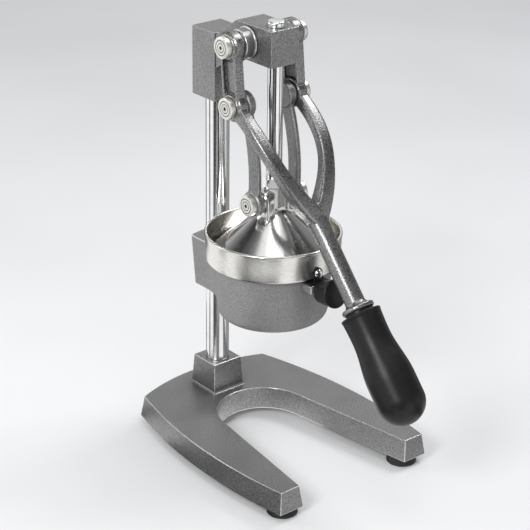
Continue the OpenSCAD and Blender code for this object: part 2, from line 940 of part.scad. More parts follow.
// Ring of that section, square to the arm
function arm_ring(t) =
    let (
        d = bezier_dir(arm_path(), t),
        flat = unit([1, 0, 0] - d[0] * d) * arm_r_at(arm_root_w, t),
        lift = cross(d, unit(flat)) * arm_r_at(arm_root_r, t)
    ) [
        for (q = rounded_square()) bezier(arm_path(), t) + q[0] * flat + q[1] * lift
    ];

module lever_side() {
    across(pivot, lever_in)
        disc(eye_r, eye_w, 1);
    across(knee, lever_in)
        disc(hub_r, eye_w, 1);
    crank();
    loft([for (i = [0 : arm_rings]) arm_ring(i / arm_rings)]);
}

module lever() {
    color("gray") at_press() difference() {
        union() {
            both_sides()
                lever_side();
            translate(crotch)
                sphere(r = stem_r + 1);
            along_stem(0)
                linear_extrude(stem_len + 1)
                    polygon(stem_r * rounded_square());
            along_stem(stem_len)
                disc(collar_r, collar_h, 1.4);
            along_stem(stem_len)
                disc(tang_r, collar_h + tang_len, 1);
        }
        both_sides() {
            across(pivot, lever_in - eps)
                cylinder(r = pin_r + run_gap, h = eye_w + 2 * eps);
            across(knee, lever_in - eps)
                cylinder(r = pin_r, h = eye_w + 2 * eps);
        }
    }
}

// Grip radius at a distance from its mouth: a lip, a waist and a long belly
function grip_r_at(t) =
    let (waist = grip_waist_at, belly = grip_len * grip_belly_at)
        t < waist ? grip_waist_r + (grip_lip_r - grip_waist_r) * pow(1 - t / waist, 2)
        : t < belly ? grip_waist_r + (grip_belly_r - grip_waist_r) * ease((t - waist) / (belly - waist))
        : grip_belly_r;

module grip() {
    lip_z = grip_neck_h + grip_lip_h;
    steps = 28;
    color([0.1, 0.1, 0.1]) at_press() along_stem(grip_at)
        difference() {
            union() {
                rotate_extrude()
                    polygon(concat(
                        [[0, 0], [collar_r - 2, 0], [collar_r - 2, grip_neck_h], [grip_lip_r - 0.8, grip_neck_h]],
                        [for (i = [0 : steps])
                            let (t = lip_z + (grip_ball_at - lip_z) * i / steps) [grip_r_at(t), t]],
                        [[0, grip_ball_at]]
                    ));
                translate([0, 0, grip_ball_at])
                    sphere(r = grip_belly_r);
            }
            translate([0, 0, -eps])
                cylinder(r = tang_r, h = tang_len + 1);
        }
}

// Connecting rods

// Curved bar between the two eyes, a sector of a rounded ring
module link_bar() {
    r = (pow(link_len / 2, 2) + pow(link_bow, 2)) / (2 * link_bow);
    half = asin(link_len / 2 / r);
    c = 1.2;
    across(cross_at, bar_in)
        rotate([0, 0, 90 - link_lean])
            translate([link_len / 2, link_bow - r, 0])
                rotate([0, 0, 90 - half])
                    rotate_extrude(angle = 2 * half)
                        translate([r - link_w / 2, 0])
                            polygon([
                                [c, 0], [link_w - c, 0], [link_w, c], [link_w, link_t - c],
                                [link_w - c, link_t], [c, link_t], [0, link_t - c], [0, c]
                            ]);
}

module link() {
    color("gray") at_press() difference() {
        union() {
            link_bar();
            across(knee, upper_eye_in)
                disc(link_eye_r, upper_eye_w, 1.4);
            across(cross_at, lower_eye_in)
                disc(link_eye_r, lower_eye_w, 1);
        }
        across(cross_at, lower_eye_in - eps)
            cylinder(r = cross_pin_r + run_gap, h = lower_eye_w + 2 * eps);
    }
}

module link_right() {
    link();
}

module link_left() {
    mirror([1, 0, 0])
        link();
}

module knee_washer() {
    color("silver") at_press()
        across(knee, link_out)
            disc(link_eye_r - 1, washer_t, 0.3);
}

module knee_washer_right() {
    knee_washer();
}

module knee_washer_left() {
    mirror([1, 0, 0])
        knee_washer();
}

// Plunger

module plunger_rod() {
    top = nose_top + side_gap;
    color("silver") at_press() difference() {
        translate([0, 0, rod_bottom])
            disc(rod_r, top - rod_bottom, 0.5);
        translate([0, 0, top - 10])
            cylinder(r = 3, h = 11, $fn = 48);
    }
}

module rod_cap() {
    dome = 2;
    color("silver") at_press() translate([0, 0, nose_top + side_gap]) {
        rotate_extrude()
            polygon(concat(
                [[0, 0], [cap_r, 0]],
                arc([cap_r - dome, cap_h - dome], dome, 0, 70, 6),
                [[0, cap_h]]
            ));
        translate([0, 0, -9])
            cylinder(r = 3, h = 9 + eps, $fn = 48);
    }
}

module cone_shell() {
    lip = 2;
    rotate_extrude()
        polygon([
            [cone_in_r, cone_rim_z - lip], [cone_rim_r - 0.6, cone_rim_z - lip],
            [cone_rim_r, cone_rim_z + 0.6 - lip], [cone_rim_r, cone_rim_z], [cone_top_r, cone_top_z],
            [0, cone_top_z], [0, cone_roof_z], [cone_roof_r, cone_roof_z], [cone_in_r, cone_rim_z]
        ]);
}

// Rib under the cone that bites into the peel
module cone_rib() {
    bite = 1.6;
    rotate([90, 0, 0])
        translate([0, 0, -1])
            linear_extrude(2)
                polygon([
                    [cone_in_r + 1, cone_rim_z], [cone_roof_r + 1, cone_roof_z + 1],
                    [cone_roof_r - bite, cone_roof_z + 1], [cone_in_r - 2 * bite, cone_rim_z]
                ]);
}

module crosshead_block() {
    base_z = cone_roof_z + 1;
    across([0, 0], -cross_hw)
        linear_extrude(2 * cross_hw)
            union() {
                translate([-cross_hd, base_z])
                    square([2 * cross_hd, cross_z - base_z]);
                translate(cross_at)
                    circle(r = cross_hd);
            }
    both_sides()
        across(cross_at, cross_hw - 1)
            cylinder(r = cross_hd - 2, h = cross_washer_in - cross_hw + 1);
    translate([0, 0, base_z])
        disc(post_r, cross_z + post_rise - base_z, 1.4);
}

module press_cone() {
    color("silver") at_press() difference() {
        union() {
            cone_shell();
            crosshead_block();
            for (i = [0 : cone_ribs - 1])
                rotate([0, 0, 360 * (i + 0.5) / cone_ribs])
                    cone_rib();
        }
        translate([0, 0, rod_bottom])
            cylinder(r = rod_r, h = cone_drop);
        both_sides()
            across(cross_at, rod_r + 1)
                cylinder(r = cross_pin_r, h = cross_washer_in);
    }
}

module jam_nut() {
    color("silver") at_press() translate([0, 0, cross_z + post_rise])
        difference() {
            hex_prism(nut_af_half, nut_h, 0.9);
            translate([0, 0, -eps])
                cylinder(r = rod_r, h = nut_h + 2 * eps);
        }
}

module crosshead_washers() {
    color("silver") at_press() both_sides()
        ring_washer(cross_hd - 0.5, cross_pin_r, cross_at, cross_washer_in);
}

// Cup

function ring_r_at(z) = cup_r - ring_taper * (cup_rim_z - z) / cup_ring_h;

module funnel_cup() {
    skirt_z = shoulder_z - skirt_h;
    throat_z = skirt_z - funnel_h;
    bead = 0.4;
    bead_foot_z = cup_rim_z - 2.4;
    in = sheet;
    color("lightgray") at_press() difference() {
        rotate_extrude()
            polygon([
                [cup_r + bead, cup_rim_z - 0.6], [cup_r + bead, cup_rim_z - 1.8],
                [ring_r_at(bead_foot_z), bead_foot_z], [ring_foot_r, cup_ring_z + 0.6],
                [ring_foot_r - 0.6, shoulder_z + 0.2], [ring_foot_r - 1.4, shoulder_z],
                [skirt_r, shoulder_z], [skirt_r, skirt_z], [spout_r, throat_z], [spout_r, spout_z],
                [spout_r - in, spout_z], [spout_r - in, throat_z + 0.5], [skirt_r - in, skirt_z + 0.5],
                [skirt_r - in, shoulder_z + in], [ring_foot_in_r, shoulder_z + in], [cup_in_r, cup_rim_z - 0.5],
                [cup_in_r + 0.5, cup_rim_z], [cup_r, cup_rim_z]
            ]);
        rivet_axis(-cup_r - 1)
            cylinder(r = rivet_shank_r, h = sheet + 3, $fn = 32);
    }
}

function strainer_z_at(r) = strainer_z + sheet + (strainer_r - r) * cone_slope;

// Perforated cone with a flange that lies on the cup's shoulder
module strainer_cone() {
    flat_z = strainer_z_at(strainer_flat_r);
    shift = sheet / sin(atan(cone_slope));
    pitch = 6.4;
    color("lightgray") at_press() difference() {
        rotate_extrude()
            polygon([
                [strainer_r - shift, strainer_z], [strainer_out_r, strainer_z], [strainer_out_r, strainer_z + sheet],
                [strainer_r, strainer_z + sheet], [strainer_flat_r, flat_z], [6, flat_z + 2], [0, flat_z + 2],
                [0, flat_z + 2 - sheet], [5.6, flat_z + 2 - sheet], [strainer_flat_r - 0.5, flat_z - sheet]
            ]);
        for (row = [0 : strainer_rows - 1])
            let (r = strainer_r - 5 - row * pitch, count = 2 * floor(r * 0.27))
                for (i = [0 : count - 1])
                    rotate([0, 0, 360 * (i + row / 2) / count])
                        translate([r, 0, strainer_z_at(r)])
                            rotate([0, atan(cone_slope), 0])
                                translate([0, 0, -3 * sheet])
                                    cylinder(r = strainer_hole_r, h = 5 * sheet, $fn = 24);
    }
}

// Carries a shape that stands on the XY plane to the rivet's axis, pointing back from y
module rivet_axis(y) {
    translate([0, y, rivet_z])
        rotate([-90, 0, 0])
            children();
}

module along_knob(t) {
    translate([0, -knob_y, knob_z])
        rotate([90 - knob_tilt, 0, 0])
            translate([0, 0, t])
                children();
}

// Tab up the wall of the ring, with a round top about the rivet
module bracket_tab() {
    intersection() {
        rotate([90, 0, 0])
            linear_extrude(handle_y)
                union() {
                    translate([-tab_hw, shelf_z])
                        square([2 * tab_hw, rivet_z - shelf_z]);
                    translate([0, rivet_z])
                        circle(r = tab_hw);
                }
        difference() {
            cylinder(r = handle_y, h = rivet_z + 2 * tab_hw);
            translate([0, 0, -eps])
                cylinder(r = tab_r, h = rivet_z + 3 * tab_hw);
        }
    }
}

// Bent sheet: a shelf on the lugs, a tab up the ring and a leg down behind the knob
module cup_bracket() {
    rear_gap = 0.5;
    leg_t = shelf_t + 0.6;
    shelf_reach = knob_y - 2.9;
    leg_top = (shelf_z + shelf_t - knob_z) / cos(knob_tilt);
    color([0.12, 0.12, 0.12]) at_press() difference() {
        union() {
            difference() {
                translate([-bracket_hw, -shelf_reach, shelf_z])
                    cube([2 * bracket_hw, shelf_reach - bowl_r, shelf_t]);
                translate([0, 0, shelf_z - 1])
                    cylinder(r = bowl_r + side_gap, h = shelf_t + 2);
            }
            bracket_tab();
            along_knob(-rear_gap - leg_t)
                translate([-neck_r, -neck_r, 0])
                    cube([2 * neck_r, neck_r + leg_top, leg_t]);
            along_knob(-rear_gap - 1)
                cylinder(r = stud_r, h = stud_len + rear_gap + 1);
        }
        rivet_axis(-handle_y - 1)
            cylinder(r = rivet_shank_r, h = shelf_t + 3, $fn = 32);
    }
}

module cup_rivet() {
    dome = 2.6;
    inner_y = sheet + side_gap - ring_r_at(rivet_z);
    color("white") at_press() {
        rivet_axis(-handle_y)
            mirror([0, 0, 1])
                rotate_extrude()
                    polygon(concat(
                        [[0, 0], [rivet_r, 0]],
                        [for (a = [15 : 15 : 75]) [rivet_r * cos(a), dome * sin(a)]],
                        [[0, dome]]
                    ));
        rivet_axis(-handle_y - eps)
            cylinder(r = rivet_shank_r, h = inner_y + handle_y + 1, $fn = 32);
        rivet_axis(inner_y)
            disc(rivet_shank_r + 1.2, 1, 0.3, $fn = 32);
    }
}

// Knob that flares from its inner end and ends in a round nose
module cup_knob() {
    nose = 7.5;
    rim = 0.8;
    flare_end = knob_len - nose;
    steps = 6;
    color([0.1, 0.1, 0.1]) at_press() along_knob(0)
        difference() {
            rotate_extrude()
                polygon(concat(
                    [[0, 0], [knob_in_r - rim, 0]],
                    [for (i = [0 : steps])
                        let (t = i / steps)
                            [knob_in_r + (knob_out_r - knob_in_r) * ease(t), rim + (flare_end - rim) * t]],
                    arc([knob_out_r - nose, flare_end], nose, 15, 90, 6),
                    [[0, knob_len]]
                ));
            translate([0, 0, -eps])
                cylinder(r = stud_r, h = stud_len + 0.5);
        }
}

base();
foot_front_left();
foot_front_right();
foot_rear_left();
foot_rear_right();
foot_screws();
column();
column_bolt();
column_washer();
holder();
holder_screw();
head();
head_screws();
funnel_cup();
strainer_cone();
cup_bracket();
cup_rivet();
cup_knob();
trunnion_washers();
trunnion_pin_left();
trunnion_pin_right();
lever();
grip();
knee_pin_left();
knee_pin_right();
link_left();
link_right();
knee_washer_left();
knee_washer_right();
plunger_rod();
rod_cap();
press_cone();
jam_nut();
crosshead_washers();
crosshead_pin_left();
crosshead_pin_right();
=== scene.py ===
"""Looks of the lever citrus juice press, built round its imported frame.

Sizes are in millimetres from the press axis, the line on which the plunger moves, with +X to the right, -Y to the
front and +Z up from the table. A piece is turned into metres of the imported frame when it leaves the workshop.
"""

from __future__ import annotations

import json
import logging
import math
from collections.abc import Callable, Iterable, Sequence
from dataclasses import dataclass
from enum import Enum

import bmesh
import bpy
import numpy as np
from mathutils import Matrix, Vector

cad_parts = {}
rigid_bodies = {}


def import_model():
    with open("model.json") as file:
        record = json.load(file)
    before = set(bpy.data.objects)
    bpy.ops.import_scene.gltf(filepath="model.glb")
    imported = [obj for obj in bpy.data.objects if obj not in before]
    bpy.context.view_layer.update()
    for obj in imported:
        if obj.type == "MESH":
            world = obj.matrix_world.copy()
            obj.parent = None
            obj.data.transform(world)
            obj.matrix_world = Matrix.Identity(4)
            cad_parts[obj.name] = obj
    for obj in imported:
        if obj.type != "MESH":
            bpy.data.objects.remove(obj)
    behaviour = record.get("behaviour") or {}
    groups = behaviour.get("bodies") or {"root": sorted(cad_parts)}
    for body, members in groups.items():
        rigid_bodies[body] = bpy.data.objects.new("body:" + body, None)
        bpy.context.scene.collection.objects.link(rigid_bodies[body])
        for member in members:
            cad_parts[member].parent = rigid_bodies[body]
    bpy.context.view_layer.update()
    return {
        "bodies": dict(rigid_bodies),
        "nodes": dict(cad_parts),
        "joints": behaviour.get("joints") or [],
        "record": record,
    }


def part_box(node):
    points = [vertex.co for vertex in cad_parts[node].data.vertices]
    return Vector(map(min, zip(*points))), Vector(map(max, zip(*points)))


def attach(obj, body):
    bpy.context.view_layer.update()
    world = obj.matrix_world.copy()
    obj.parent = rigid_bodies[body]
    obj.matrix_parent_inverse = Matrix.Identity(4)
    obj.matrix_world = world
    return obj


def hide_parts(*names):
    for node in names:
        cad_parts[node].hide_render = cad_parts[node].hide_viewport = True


logging.basicConfig(level=logging.INFO, format="%(levelname)s %(message)s")
log = logging.getLogger("press")

MM = 0.001
# Height of ridges on a fused casting; the enamel brightens them as wear and as a painted highlight.
EDGE_ATTRIBUTE = "edge"
# Depth of creases on a fused casting; the enamel darkens them as painted shade.
HOLLOW_ATTRIBUTE = "hollow"
POLE_R = 1e-6  # a profile point closer to the axis than this is a pole
RELIEF_GAIN = 3.0  # brings a ridge of a fused casting to about 1

Pair = tuple[float, float]
Point = tuple[float, float, float]
Colour = tuple[float, float, float]


class Body(Enum):
    """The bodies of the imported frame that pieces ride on."""

    FRAME = "frame"
    LEVER = "lever"
    LINK_LEFT = "link_left"
    LINK_RIGHT = "link_right"
    PLUNGER = "plunger"


class Slot(Enum):
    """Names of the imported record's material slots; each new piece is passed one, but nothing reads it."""

    CASTING = "hammertone"
    SHEET = "steel_sheet"
    POLISHED = "steel_polished"
    PIN = "steel_pin"
    GRIP = "grip_black"
    KNOB = "knob_black"
    BRACKET = "bracket_black"


class Side(Enum):
    """The two sides of the press, as the sign of X."""

    LEFT = -1
    RIGHT = 1


# Plane and space curves


def spread(start: float, end: float, steps: int) -> list[float]:
    """Even steps from one number to another, both included."""
    return [start + (end - start) * i / steps for i in range(steps + 1)]


def arc(centre: Pair, radius: float, start: float, end: float, steps: int = 16) -> list[Pair]:
    """Points on a circle from one angle to another in degrees, one more than its steps."""
    turns = [math.radians(a) for a in spread(start, end, steps)]
    return [(centre[0] + radius * math.cos(a), centre[1] + radius * math.sin(a)) for a in turns]


def bowed(p: Pair, q: Pair, bulge: float, steps: int = 20) -> list[Pair]:
    """Points on an arc that bulges to the right of the way from p to q.

    Args:
        p: First point.
        q: Last point.
        bulge: Height of the arc over its chord.
        steps: Number of chords.

    Returns:
        steps + 1 points from p to q.
    """
    chord = Vector(q) - Vector(p)
    half = chord.length / 2
    radius = (half * half + bulge * bulge) / (2 * bulge)
    out = Vector((chord.y, -chord.x)).normalized()
    centre = (Vector(p) + Vector(q)) / 2 - (radius - bulge) * out
    start = math.degrees(math.atan2(p[1] - centre.y, p[0] - centre.x))
    sweep = 2 * math.degrees(math.asin(min(1.0, half / radius)))
    return arc((centre.x, centre.y), radius, start, start + sweep, steps)


def ease(t: float) -> float:
    """Smooth step from 0 to 1."""
    t = min(1.0, max(0.0, t))
    return (1 - math.cos(math.pi * t)) / 2


def smooth_max(a: float, b: float, fillet: float) -> float:
    """The larger of two numbers, blended where they are within fillet of each other."""
    h = max(fillet - abs(a - b), 0.0) / fillet
    return max(a, b) + h * h * fillet / 4


def flat_sided(turn: float, corner_r: float, sides: int, corner: float) -> float:
    """Distance from the axis to an even polygon's side in one direction.

    Args:
        turn: The direction in radians.
        corner_r: Distance of the corners.
        sides: How many sides.
        corner: Direction of one corner in degrees.

    Returns:
        The distance.
    """
    step = 360 / sides
    off = (math.degrees(turn) - corner) % step - step / 2
    return corner_r * math.cos(math.radians(step / 2)) / math.cos(math.radians(off))


def turns_from(start: float, steps: int) -> list[float]:
    """Even directions round a circle in radians, from one given in degrees."""
    return [math.radians(start) + 2 * math.pi * i / steps for i in range(steps)]


def level_ring(turns: Sequence[float], radius: Callable[[float], float], z: float) -> list[Vector]:
    """A ring round the press axis at one height, whose radius depends on the direction."""
    return [Vector((radius(a) * math.cos(a), radius(a) * math.sin(a), z)) for a in turns]


def mirrored(points: Sequence[Pair]) -> list[Pair]:
    """The same points on the other side of the middle, in reverse order."""
    return [(-x, y) for x, y in reversed(points)]


def soft_corner(radius: float, height: float) -> list[Pair]:
    """An outer corner of a turned profile, broken in two steps."""
    return [(radius, height - 0.9), (radius - 0.3, height - 0.3), (radius - 0.9, height)]


def superellipse(a: float, b: float, power: float, steps: int) -> list[Pair]:
    """Rounded rectangle as a superellipse.

    Args:
        a: Half of its width.
        b: Half of its height.
        power: 2 gives an ellipse, and larger powers squarer corners.
        steps: Number of points.

    Returns:
        The points, counter-clockwise.
    """
    points = []
    for i in range(steps):
        turn = 2 * math.pi * i / steps
        c, s = math.cos(turn), math.sin(turn)
        swell = (abs(c) ** power + abs(s) ** power) ** (-1 / power)
        points.append((a * swell * c, b * swell * s))
    return points


def bezier(p: Sequence[Vector], t: float) -> Vector:
    """Point on a cubic curve at the share t of its way."""
    s = 1 - t
    return s**3 * p[0] + 3 * s * s * t * p[1] + 3 * s * t * t * p[2] + t**3 * p[3]


def bezier_way(p: Sequence[Vector], t: float) -> Vector:
    """Direction of a cubic curve at the share t of its way."""
    s = 1 - t
    return (s * s * (p[1] - p[0]) + 2 * s * t * (p[2] - p[1]) + t * t * (p[3] - p[2])).normalized()


def upright(x: float, y: float, z: float) -> Matrix:
    """Seat of a piece whose axis stands upright at a point."""
    return Matrix.Translation((x, y, z))


def across(axis: Pair, x: float, side: Side = Side.RIGHT) -> Matrix:
    """Seat of a piece whose axis points outwards across the press.

    Args:
        axis: The axis in the side plane: distance behind the press axis, height.
        x: Distance of the seat from the middle.
        side: The side on which it sits.

    Returns:
        The matrix that carries local Z to the outward direction.
    """
    out = float(side.value)
    turn = Matrix(((0, 0, out), (1, 0, 0), (0, 1, 0))).to_4x4()
    return Matrix.Translation((out * x, axis[0], axis[1])) @ turn


def pointing(place: Vector, way: Vector) -> Matrix:
    """Seat of a piece whose axis points along a direction in the side plane, with local X across the press.

    Args:
        place: The piece's place.
        way: Direction of its axis.

    Returns:
        The matrix that carries local Z to that direction.
    """
    z = way.normalized()
    x = Vector((1, 0, 0))
    y = z.cross(x)
    return Matrix.Translation(place) @ Matrix((x, y, z)).transposed().to_4x4()


@dataclass(frozen=True)
class Layout:
    """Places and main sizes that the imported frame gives, in millimetres from the press axis."""

    press_y: float
    pivot: Pair
    knee: Pair
    crosshead: Pair
    column_y: float
    column_r: float
    rod_r: float
    block_z: float
    base_bottom: float
    socket_top: float
    ring_r: float
    rim_z: float
    shoulder_z: float
    bowl_z: float
    cone_rim_r: float
    cone_rim_z: float
    nut_z: float
    nut_top: float

    @classmethod
    def read(cls, frame: dict) -> Layout:
        """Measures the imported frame.


        Returns:
            The layout of the press.
        """
        joints = {joint["name"]: joint["pos_m"] for joint in frame["joints"] if "pos_m" in joint}
        press_y = joints["link_left_swing"][1] / MM

        def span(node: str) -> tuple[Vector, Vector]:
            """Corners of a node's box, from the press axis.

            Args:
                node: The node's name.

            Returns:
                Its lowest and its highest corner.
            """
            low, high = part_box(node)
            shift = Vector((0, press_y, 0))
            return low / MM - shift, high / MM - shift

        def axis(node: str) -> Pair:
            """Middle of a node in the side plane."""
            low, high = span(node)
            return ((low.y + high.y) / 2, (low.z + high.z) / 2)

        column, rod, head, base = span("column"), span("plunger_rod"), span("head"), span("base")
        cup, holder, cone, nut = span("funnel_cup"), span("holder"), span("press_cone"), span("jam_nut")
        strainer = span("strainer_cone")
        bead, lip, sheet = 0.4, 2.0, 1.2
        return cls(
            press_y=press_y,
            pivot=(joints["lever_swing"][1] / MM - press_y, joints["lever_swing"][2] / MM),
            knee=axis("knee_pin_left"),
            crosshead=(0.0, joints["link_left_swing"][2] / MM),
            column_y=(column[0].y + column[1].y) / 2,
            column_r=column[1].x,
            rod_r=rod[1].x,
            block_z=head[0].z,
            base_bottom=base[0].z,
            socket_top=base[1].z,
            ring_r=cup[1].x - bead,
            rim_z=cup[1].z,
            shoulder_z=strainer[0].z - sheet,
            bowl_z=holder[0].z,
            cone_rim_r=cone[1].x,
            cone_rim_z=cone[0].z + lip,
            nut_z=nut[0].z,
            nut_top=nut[1].z,
        )


# Shader building


def grey(light: float) -> Colour:
    """A grey as a colour."""
    return (light, light, light)


def dimmed(colour: Colour, share: float) -> Colour:
    """A colour with a share of its light."""
    red, green, blue = colour
    return (red * share, green * share, blue * share)


class Signal:
    """A shader socket that takes part in Python arithmetic."""

    def __init__(self, board: Board, socket: bpy.types.NodeSocket) -> None:
        """Wraps a socket of a board."""
        self.board = board
        self.socket = socket

    def __add__(self, other: Signal | float) -> Signal:
        """Sum."""
        return self.board.math("ADD", self, other)

    __radd__ = __add__

    def __sub__(self, other: Signal | float) -> Signal:
        """Difference."""
        return self.board.math("SUBTRACT", self, other)

    def __rsub__(self, other: float) -> Signal:
        """Difference with a number first."""
        return self.board.math("SUBTRACT", other, self)

    def __mul__(self, other: Signal | float) -> Signal:
        """Product."""
        return self.board.math("MULTIPLY", self, other)

    __rmul__ = __mul__

    def between(self, low: float, high: float) -> Signal:
        """Smooth share of the way from low to high, from 0 to 1."""
        sockets = {"Value": self, "From Min": low, "From Max": high}
        return self.board.add("ShaderNodeMapRange", {"interpolation_type": "SMOOTHSTEP"}, sockets)


class Board:
    """A shader tree with the few ways of adding nodes that the finishes use."""

    def __init__(self, tree: bpy.types.NodeTree) -> None:
        """Clears a tree and takes it over."""
        self.tree = tree
        tree.nodes.clear()

    def add(self, kind: str, settings: dict | None = None, sockets: dict | None = None, out: int | str = 0) -> Signal:
        """Adds a node.

        Args:
            kind: The node's type.
            settings: Its settings, which are set first; stops are a ramp's places and colours.
            sockets: Values or signals of its input sockets, by name or number.
            out: The output wanted.

        Returns:
            That output.
        """
        node = self.tree.nodes.new(kind)
        for key, value in (settings or {}).items():
            if key == "stops":
                self._set_stops(node.color_ramp, value)
            else:
                setattr(node, key, value)
        for key, value in (sockets or {}).items():
            if isinstance(value, Signal):
                self.tree.links.new(value.socket, node.inputs[key])
            else:
                node.inputs[key].default_value = value
        return Signal(self, node.outputs[out])

    @staticmethod
    def _set_stops(ramp: bpy.types.ColorRamp, stops: Sequence[tuple[float, Colour]]) -> None:
        """Gives a ramp its stops, in rising order.

        Args:
            ramp: The ramp.
            stops: Places and colours of its stops.
        """
        while len(ramp.elements) < len(stops):
            ramp.elements.new(1.0)
        for element, (place, colour) in zip(ramp.elements, stops):
            element.position = place
            element.color = (*colour, 1.0)

    def math(self, operation: str, *values: Signal | float) -> Signal:
        """Adds a Math node on one to three values."""
        return self.add("ShaderNodeMath", {"operation": operation}, dict(enumerate(values)))

    def mix(self, factor: Signal | float, a: Signal | Colour, b: Signal | Colour) -> Signal:
        """Mixes two colours."""
        ends = {6: a if isinstance(a, Signal) else (*a, 1.0), 7: b if isinstance(b, Signal) else (*b, 1.0)}
        return self.add("ShaderNodeMix", {"data_type": "RGBA"}, {0: factor, **ends}, out=2)

    def place(self) -> Signal:
        """Object coordinates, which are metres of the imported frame."""
        return self.add("ShaderNodeTexCoord", out="Object")

    def parts(self, vector: Signal) -> tuple[Signal, Signal, Signal]:
        """The three numbers of a vector."""
        outputs = self.add("ShaderNodeSeparateXYZ", sockets={0: vector}).socket.node.outputs
        return Signal(self, outputs[0]), Signal(self, outputs[1]), Signal(self, outputs[2])

    def vector(self, x: Signal | float, y: Signal | float, z: Signal | float) -> Signal:
        """A vector made of three numbers."""
        return self.add("ShaderNodeCombineXYZ", sockets={0: x, 1: y, 2: z})

    def noise(self, where: Signal, grain: float, detail: float = 2.0, roughness: float = 0.5) -> Signal:
        """Noise whose grains measure so many millimetres where the coordinates are in metres."""
        sockets = {"Vector": where, "Scale": 1 / (grain * MM), "Detail": detail, "Roughness": roughness}
        return self.add("ShaderNodeTexNoise", sockets=sockets)

    def attribute(self, name: str) -> Signal:
        """A number stored on the mesh, 0 where a mesh lacks it."""
        return self.add("ShaderNodeAttribute", {"attribute_name": name}, out="Fac")

    def distance(self, a: Signal, b: Signal) -> Signal:
        """Length of a flat vector with two numbers."""
        return self.math("SQRT", a * a + b * b)

    def openness(self, reach: float) -> Signal:
        """How open a piece's own form is within so many millimetres: 1 in the open and 0 in a crevice."""
        settings = {"samples": 4, "only_local": True}
        return self.add("ShaderNodeAmbientOcclusion", settings, {"Distance": reach * MM}, out="AO")

    def bump(self, height: Signal, depth: float) -> Signal:
        """Normal from a height, where a height of 1 stands for so many millimetres."""
        return self.add("ShaderNodeBump", None, {"Strength": 1.0, "Distance": depth * MM, "Height": height})

    def surface(self, **sockets: Signal | float | Colour) -> None:
        """Ends a material in a Principled shader, with its sockets named in lower case.

        Args:
            sockets: Values or signals of the shader's sockets.
        """
        values = {}
        for key, value in sockets.items():
            name = key.replace("_", " ").title().replace("Ior", "IOR")
            colour = isinstance(value, tuple) and len(value) == 3
            values[name] = (*value, 1.0) if colour else value
        shader = self.add("ShaderNodeBsdfPrincipled", None, values)
        self.add_output("ShaderNodeOutputMaterial", shader)

    def add_output(self, kind: str, shader: Signal) -> None:
        """Ends a tree in an output node."""
        node = self.tree.nodes.new(kind)
        self.tree.links.new(shader.socket, node.inputs["Surface"])


@dataclass(frozen=True)
class Finish:
    """A finish with the name of its material."""

    name: str

    def material(self) -> bpy.types.Material:
        """Makes the finish's material.

        Returns:
            The material.
        """
        made = bpy.data.materials.new(self.name)
        made.use_nodes = True
        self.paint(Board(made.node_tree))
        return made

    def paint(self, board: Board) -> None:
        """Builds the finish's nodes on a board."""
        raise NotImplementedError


@dataclass(frozen=True)
class Hammertone(Finish):
    """Grey metallic enamel on a rough casting: fine flakes, painted shade in recesses and creases, and ridges worn
    bright with a painted highlight.
    """

    shade: float = 0.29
    metallic: float = 0.74
    roughness: float = 0.36
    grain: float = 1.1
    drift: float = 34.0
    contrast: float = 0.42
    depth: float = 0.10
    # Worn edges: ridges and rounded edges turn towards bright bare metal, partly wear and partly a painted highlight.
    wear_and_highlight: float = 0.0
    edges: float = 1.0
    # Painted shade: reach and colour of the darkening that ambient occlusion of the piece's own form puts into
    # recesses.
    painted_shade_reach: float = 46.0
    bare_metal_and_highlight: Colour = (0.86, 0.86, 0.85)
    painted_shade: Colour = (0.016, 0.016, 0.017)
    # Colour of painted shade in the creases of fused castings.
    recess: Colour = (0.02, 0.02, 0.02)

    def paint(self, board: Board) -> None:
        """Builds the enamel's nodes.

        Args:
            board: The board to build on.
        """
        place = board.place()
        grain = board.noise(place, self.grain, 2.5, 0.6)
        drift = board.noise(place, self.drift, 2.0)
        wear_and_highlight = board.attribute(EDGE_ATTRIBUTE) * self.edges + self.wear_and_highlight
        hollow = board.attribute(HOLLOW_ATTRIBUTE)
        # Painted shade: how hemmed in each point is by the piece's own form.
        painted_occlusion = 1 - board.openness(self.painted_shade_reach)
        flakes = grain.between(0.33, 0.67)
        low, high = (grey(self.shade * (1 + sign * self.contrast)) for sign in (-1, 1))
        colour = board.mix(flakes, low, high)
        colour = board.mix(drift.between(0.35, 0.75) * 0.35, colour, grey(self.shade * 0.72))
        # Wear and painted highlight: ridges and edges mixed towards bright bare metal.
        colour = board.mix(wear_and_highlight.between(0.12, 0.9) * (0.45 + flakes * 0.5), colour, self.bare_metal_and_highlight)
        # Painted shade darkens recesses and the ground round raised forms.
        colour = board.mix(painted_occlusion.between(0.10, 0.80) * 0.9, colour, self.painted_shade)
        # Painted shade in grooves and creases of fused castings.
        colour = board.mix(hollow.between(0.15, 1.0) * 0.75, colour, self.recess)
        board.surface(
            base_color=colour,
            metallic=self.metallic,
            roughness=self.roughness + (flakes - 0.5) * 0.10 - wear_and_highlight.between(0.1, 1.0) * 0.10,
            normal=board.bump(grain, self.depth),
        )


@dataclass(frozen=True)
class MirrorChrome(Finish):
    """Bright chrome with faint smudges. A ground one spreads its reflections along its axis."""

    tint: Colour = (0.90, 0.905, 0.91)
    roughness: float = 0.045
    ground: float = 0.0
    smudge: float = 18.0

    def paint(self, board: Board) -> None:
        """Builds the chrome's nodes.

        Args:
            board: The board to build on.
        """
        smudge = board.noise(board.place(), self.smudge, 4.0, 0.62)
        board.surface(
            base_color=board.mix(smudge.between(0.45, 0.8), self.tint, dimmed(self.tint, 0.9)),
            metallic=1.0,
            roughness=self.roughness + smudge.between(0.5, 0.85) * 0.04,
            anisotropic=self.ground,
            anisotropic_rotation=0.25 if self.ground else 0.0,
        )


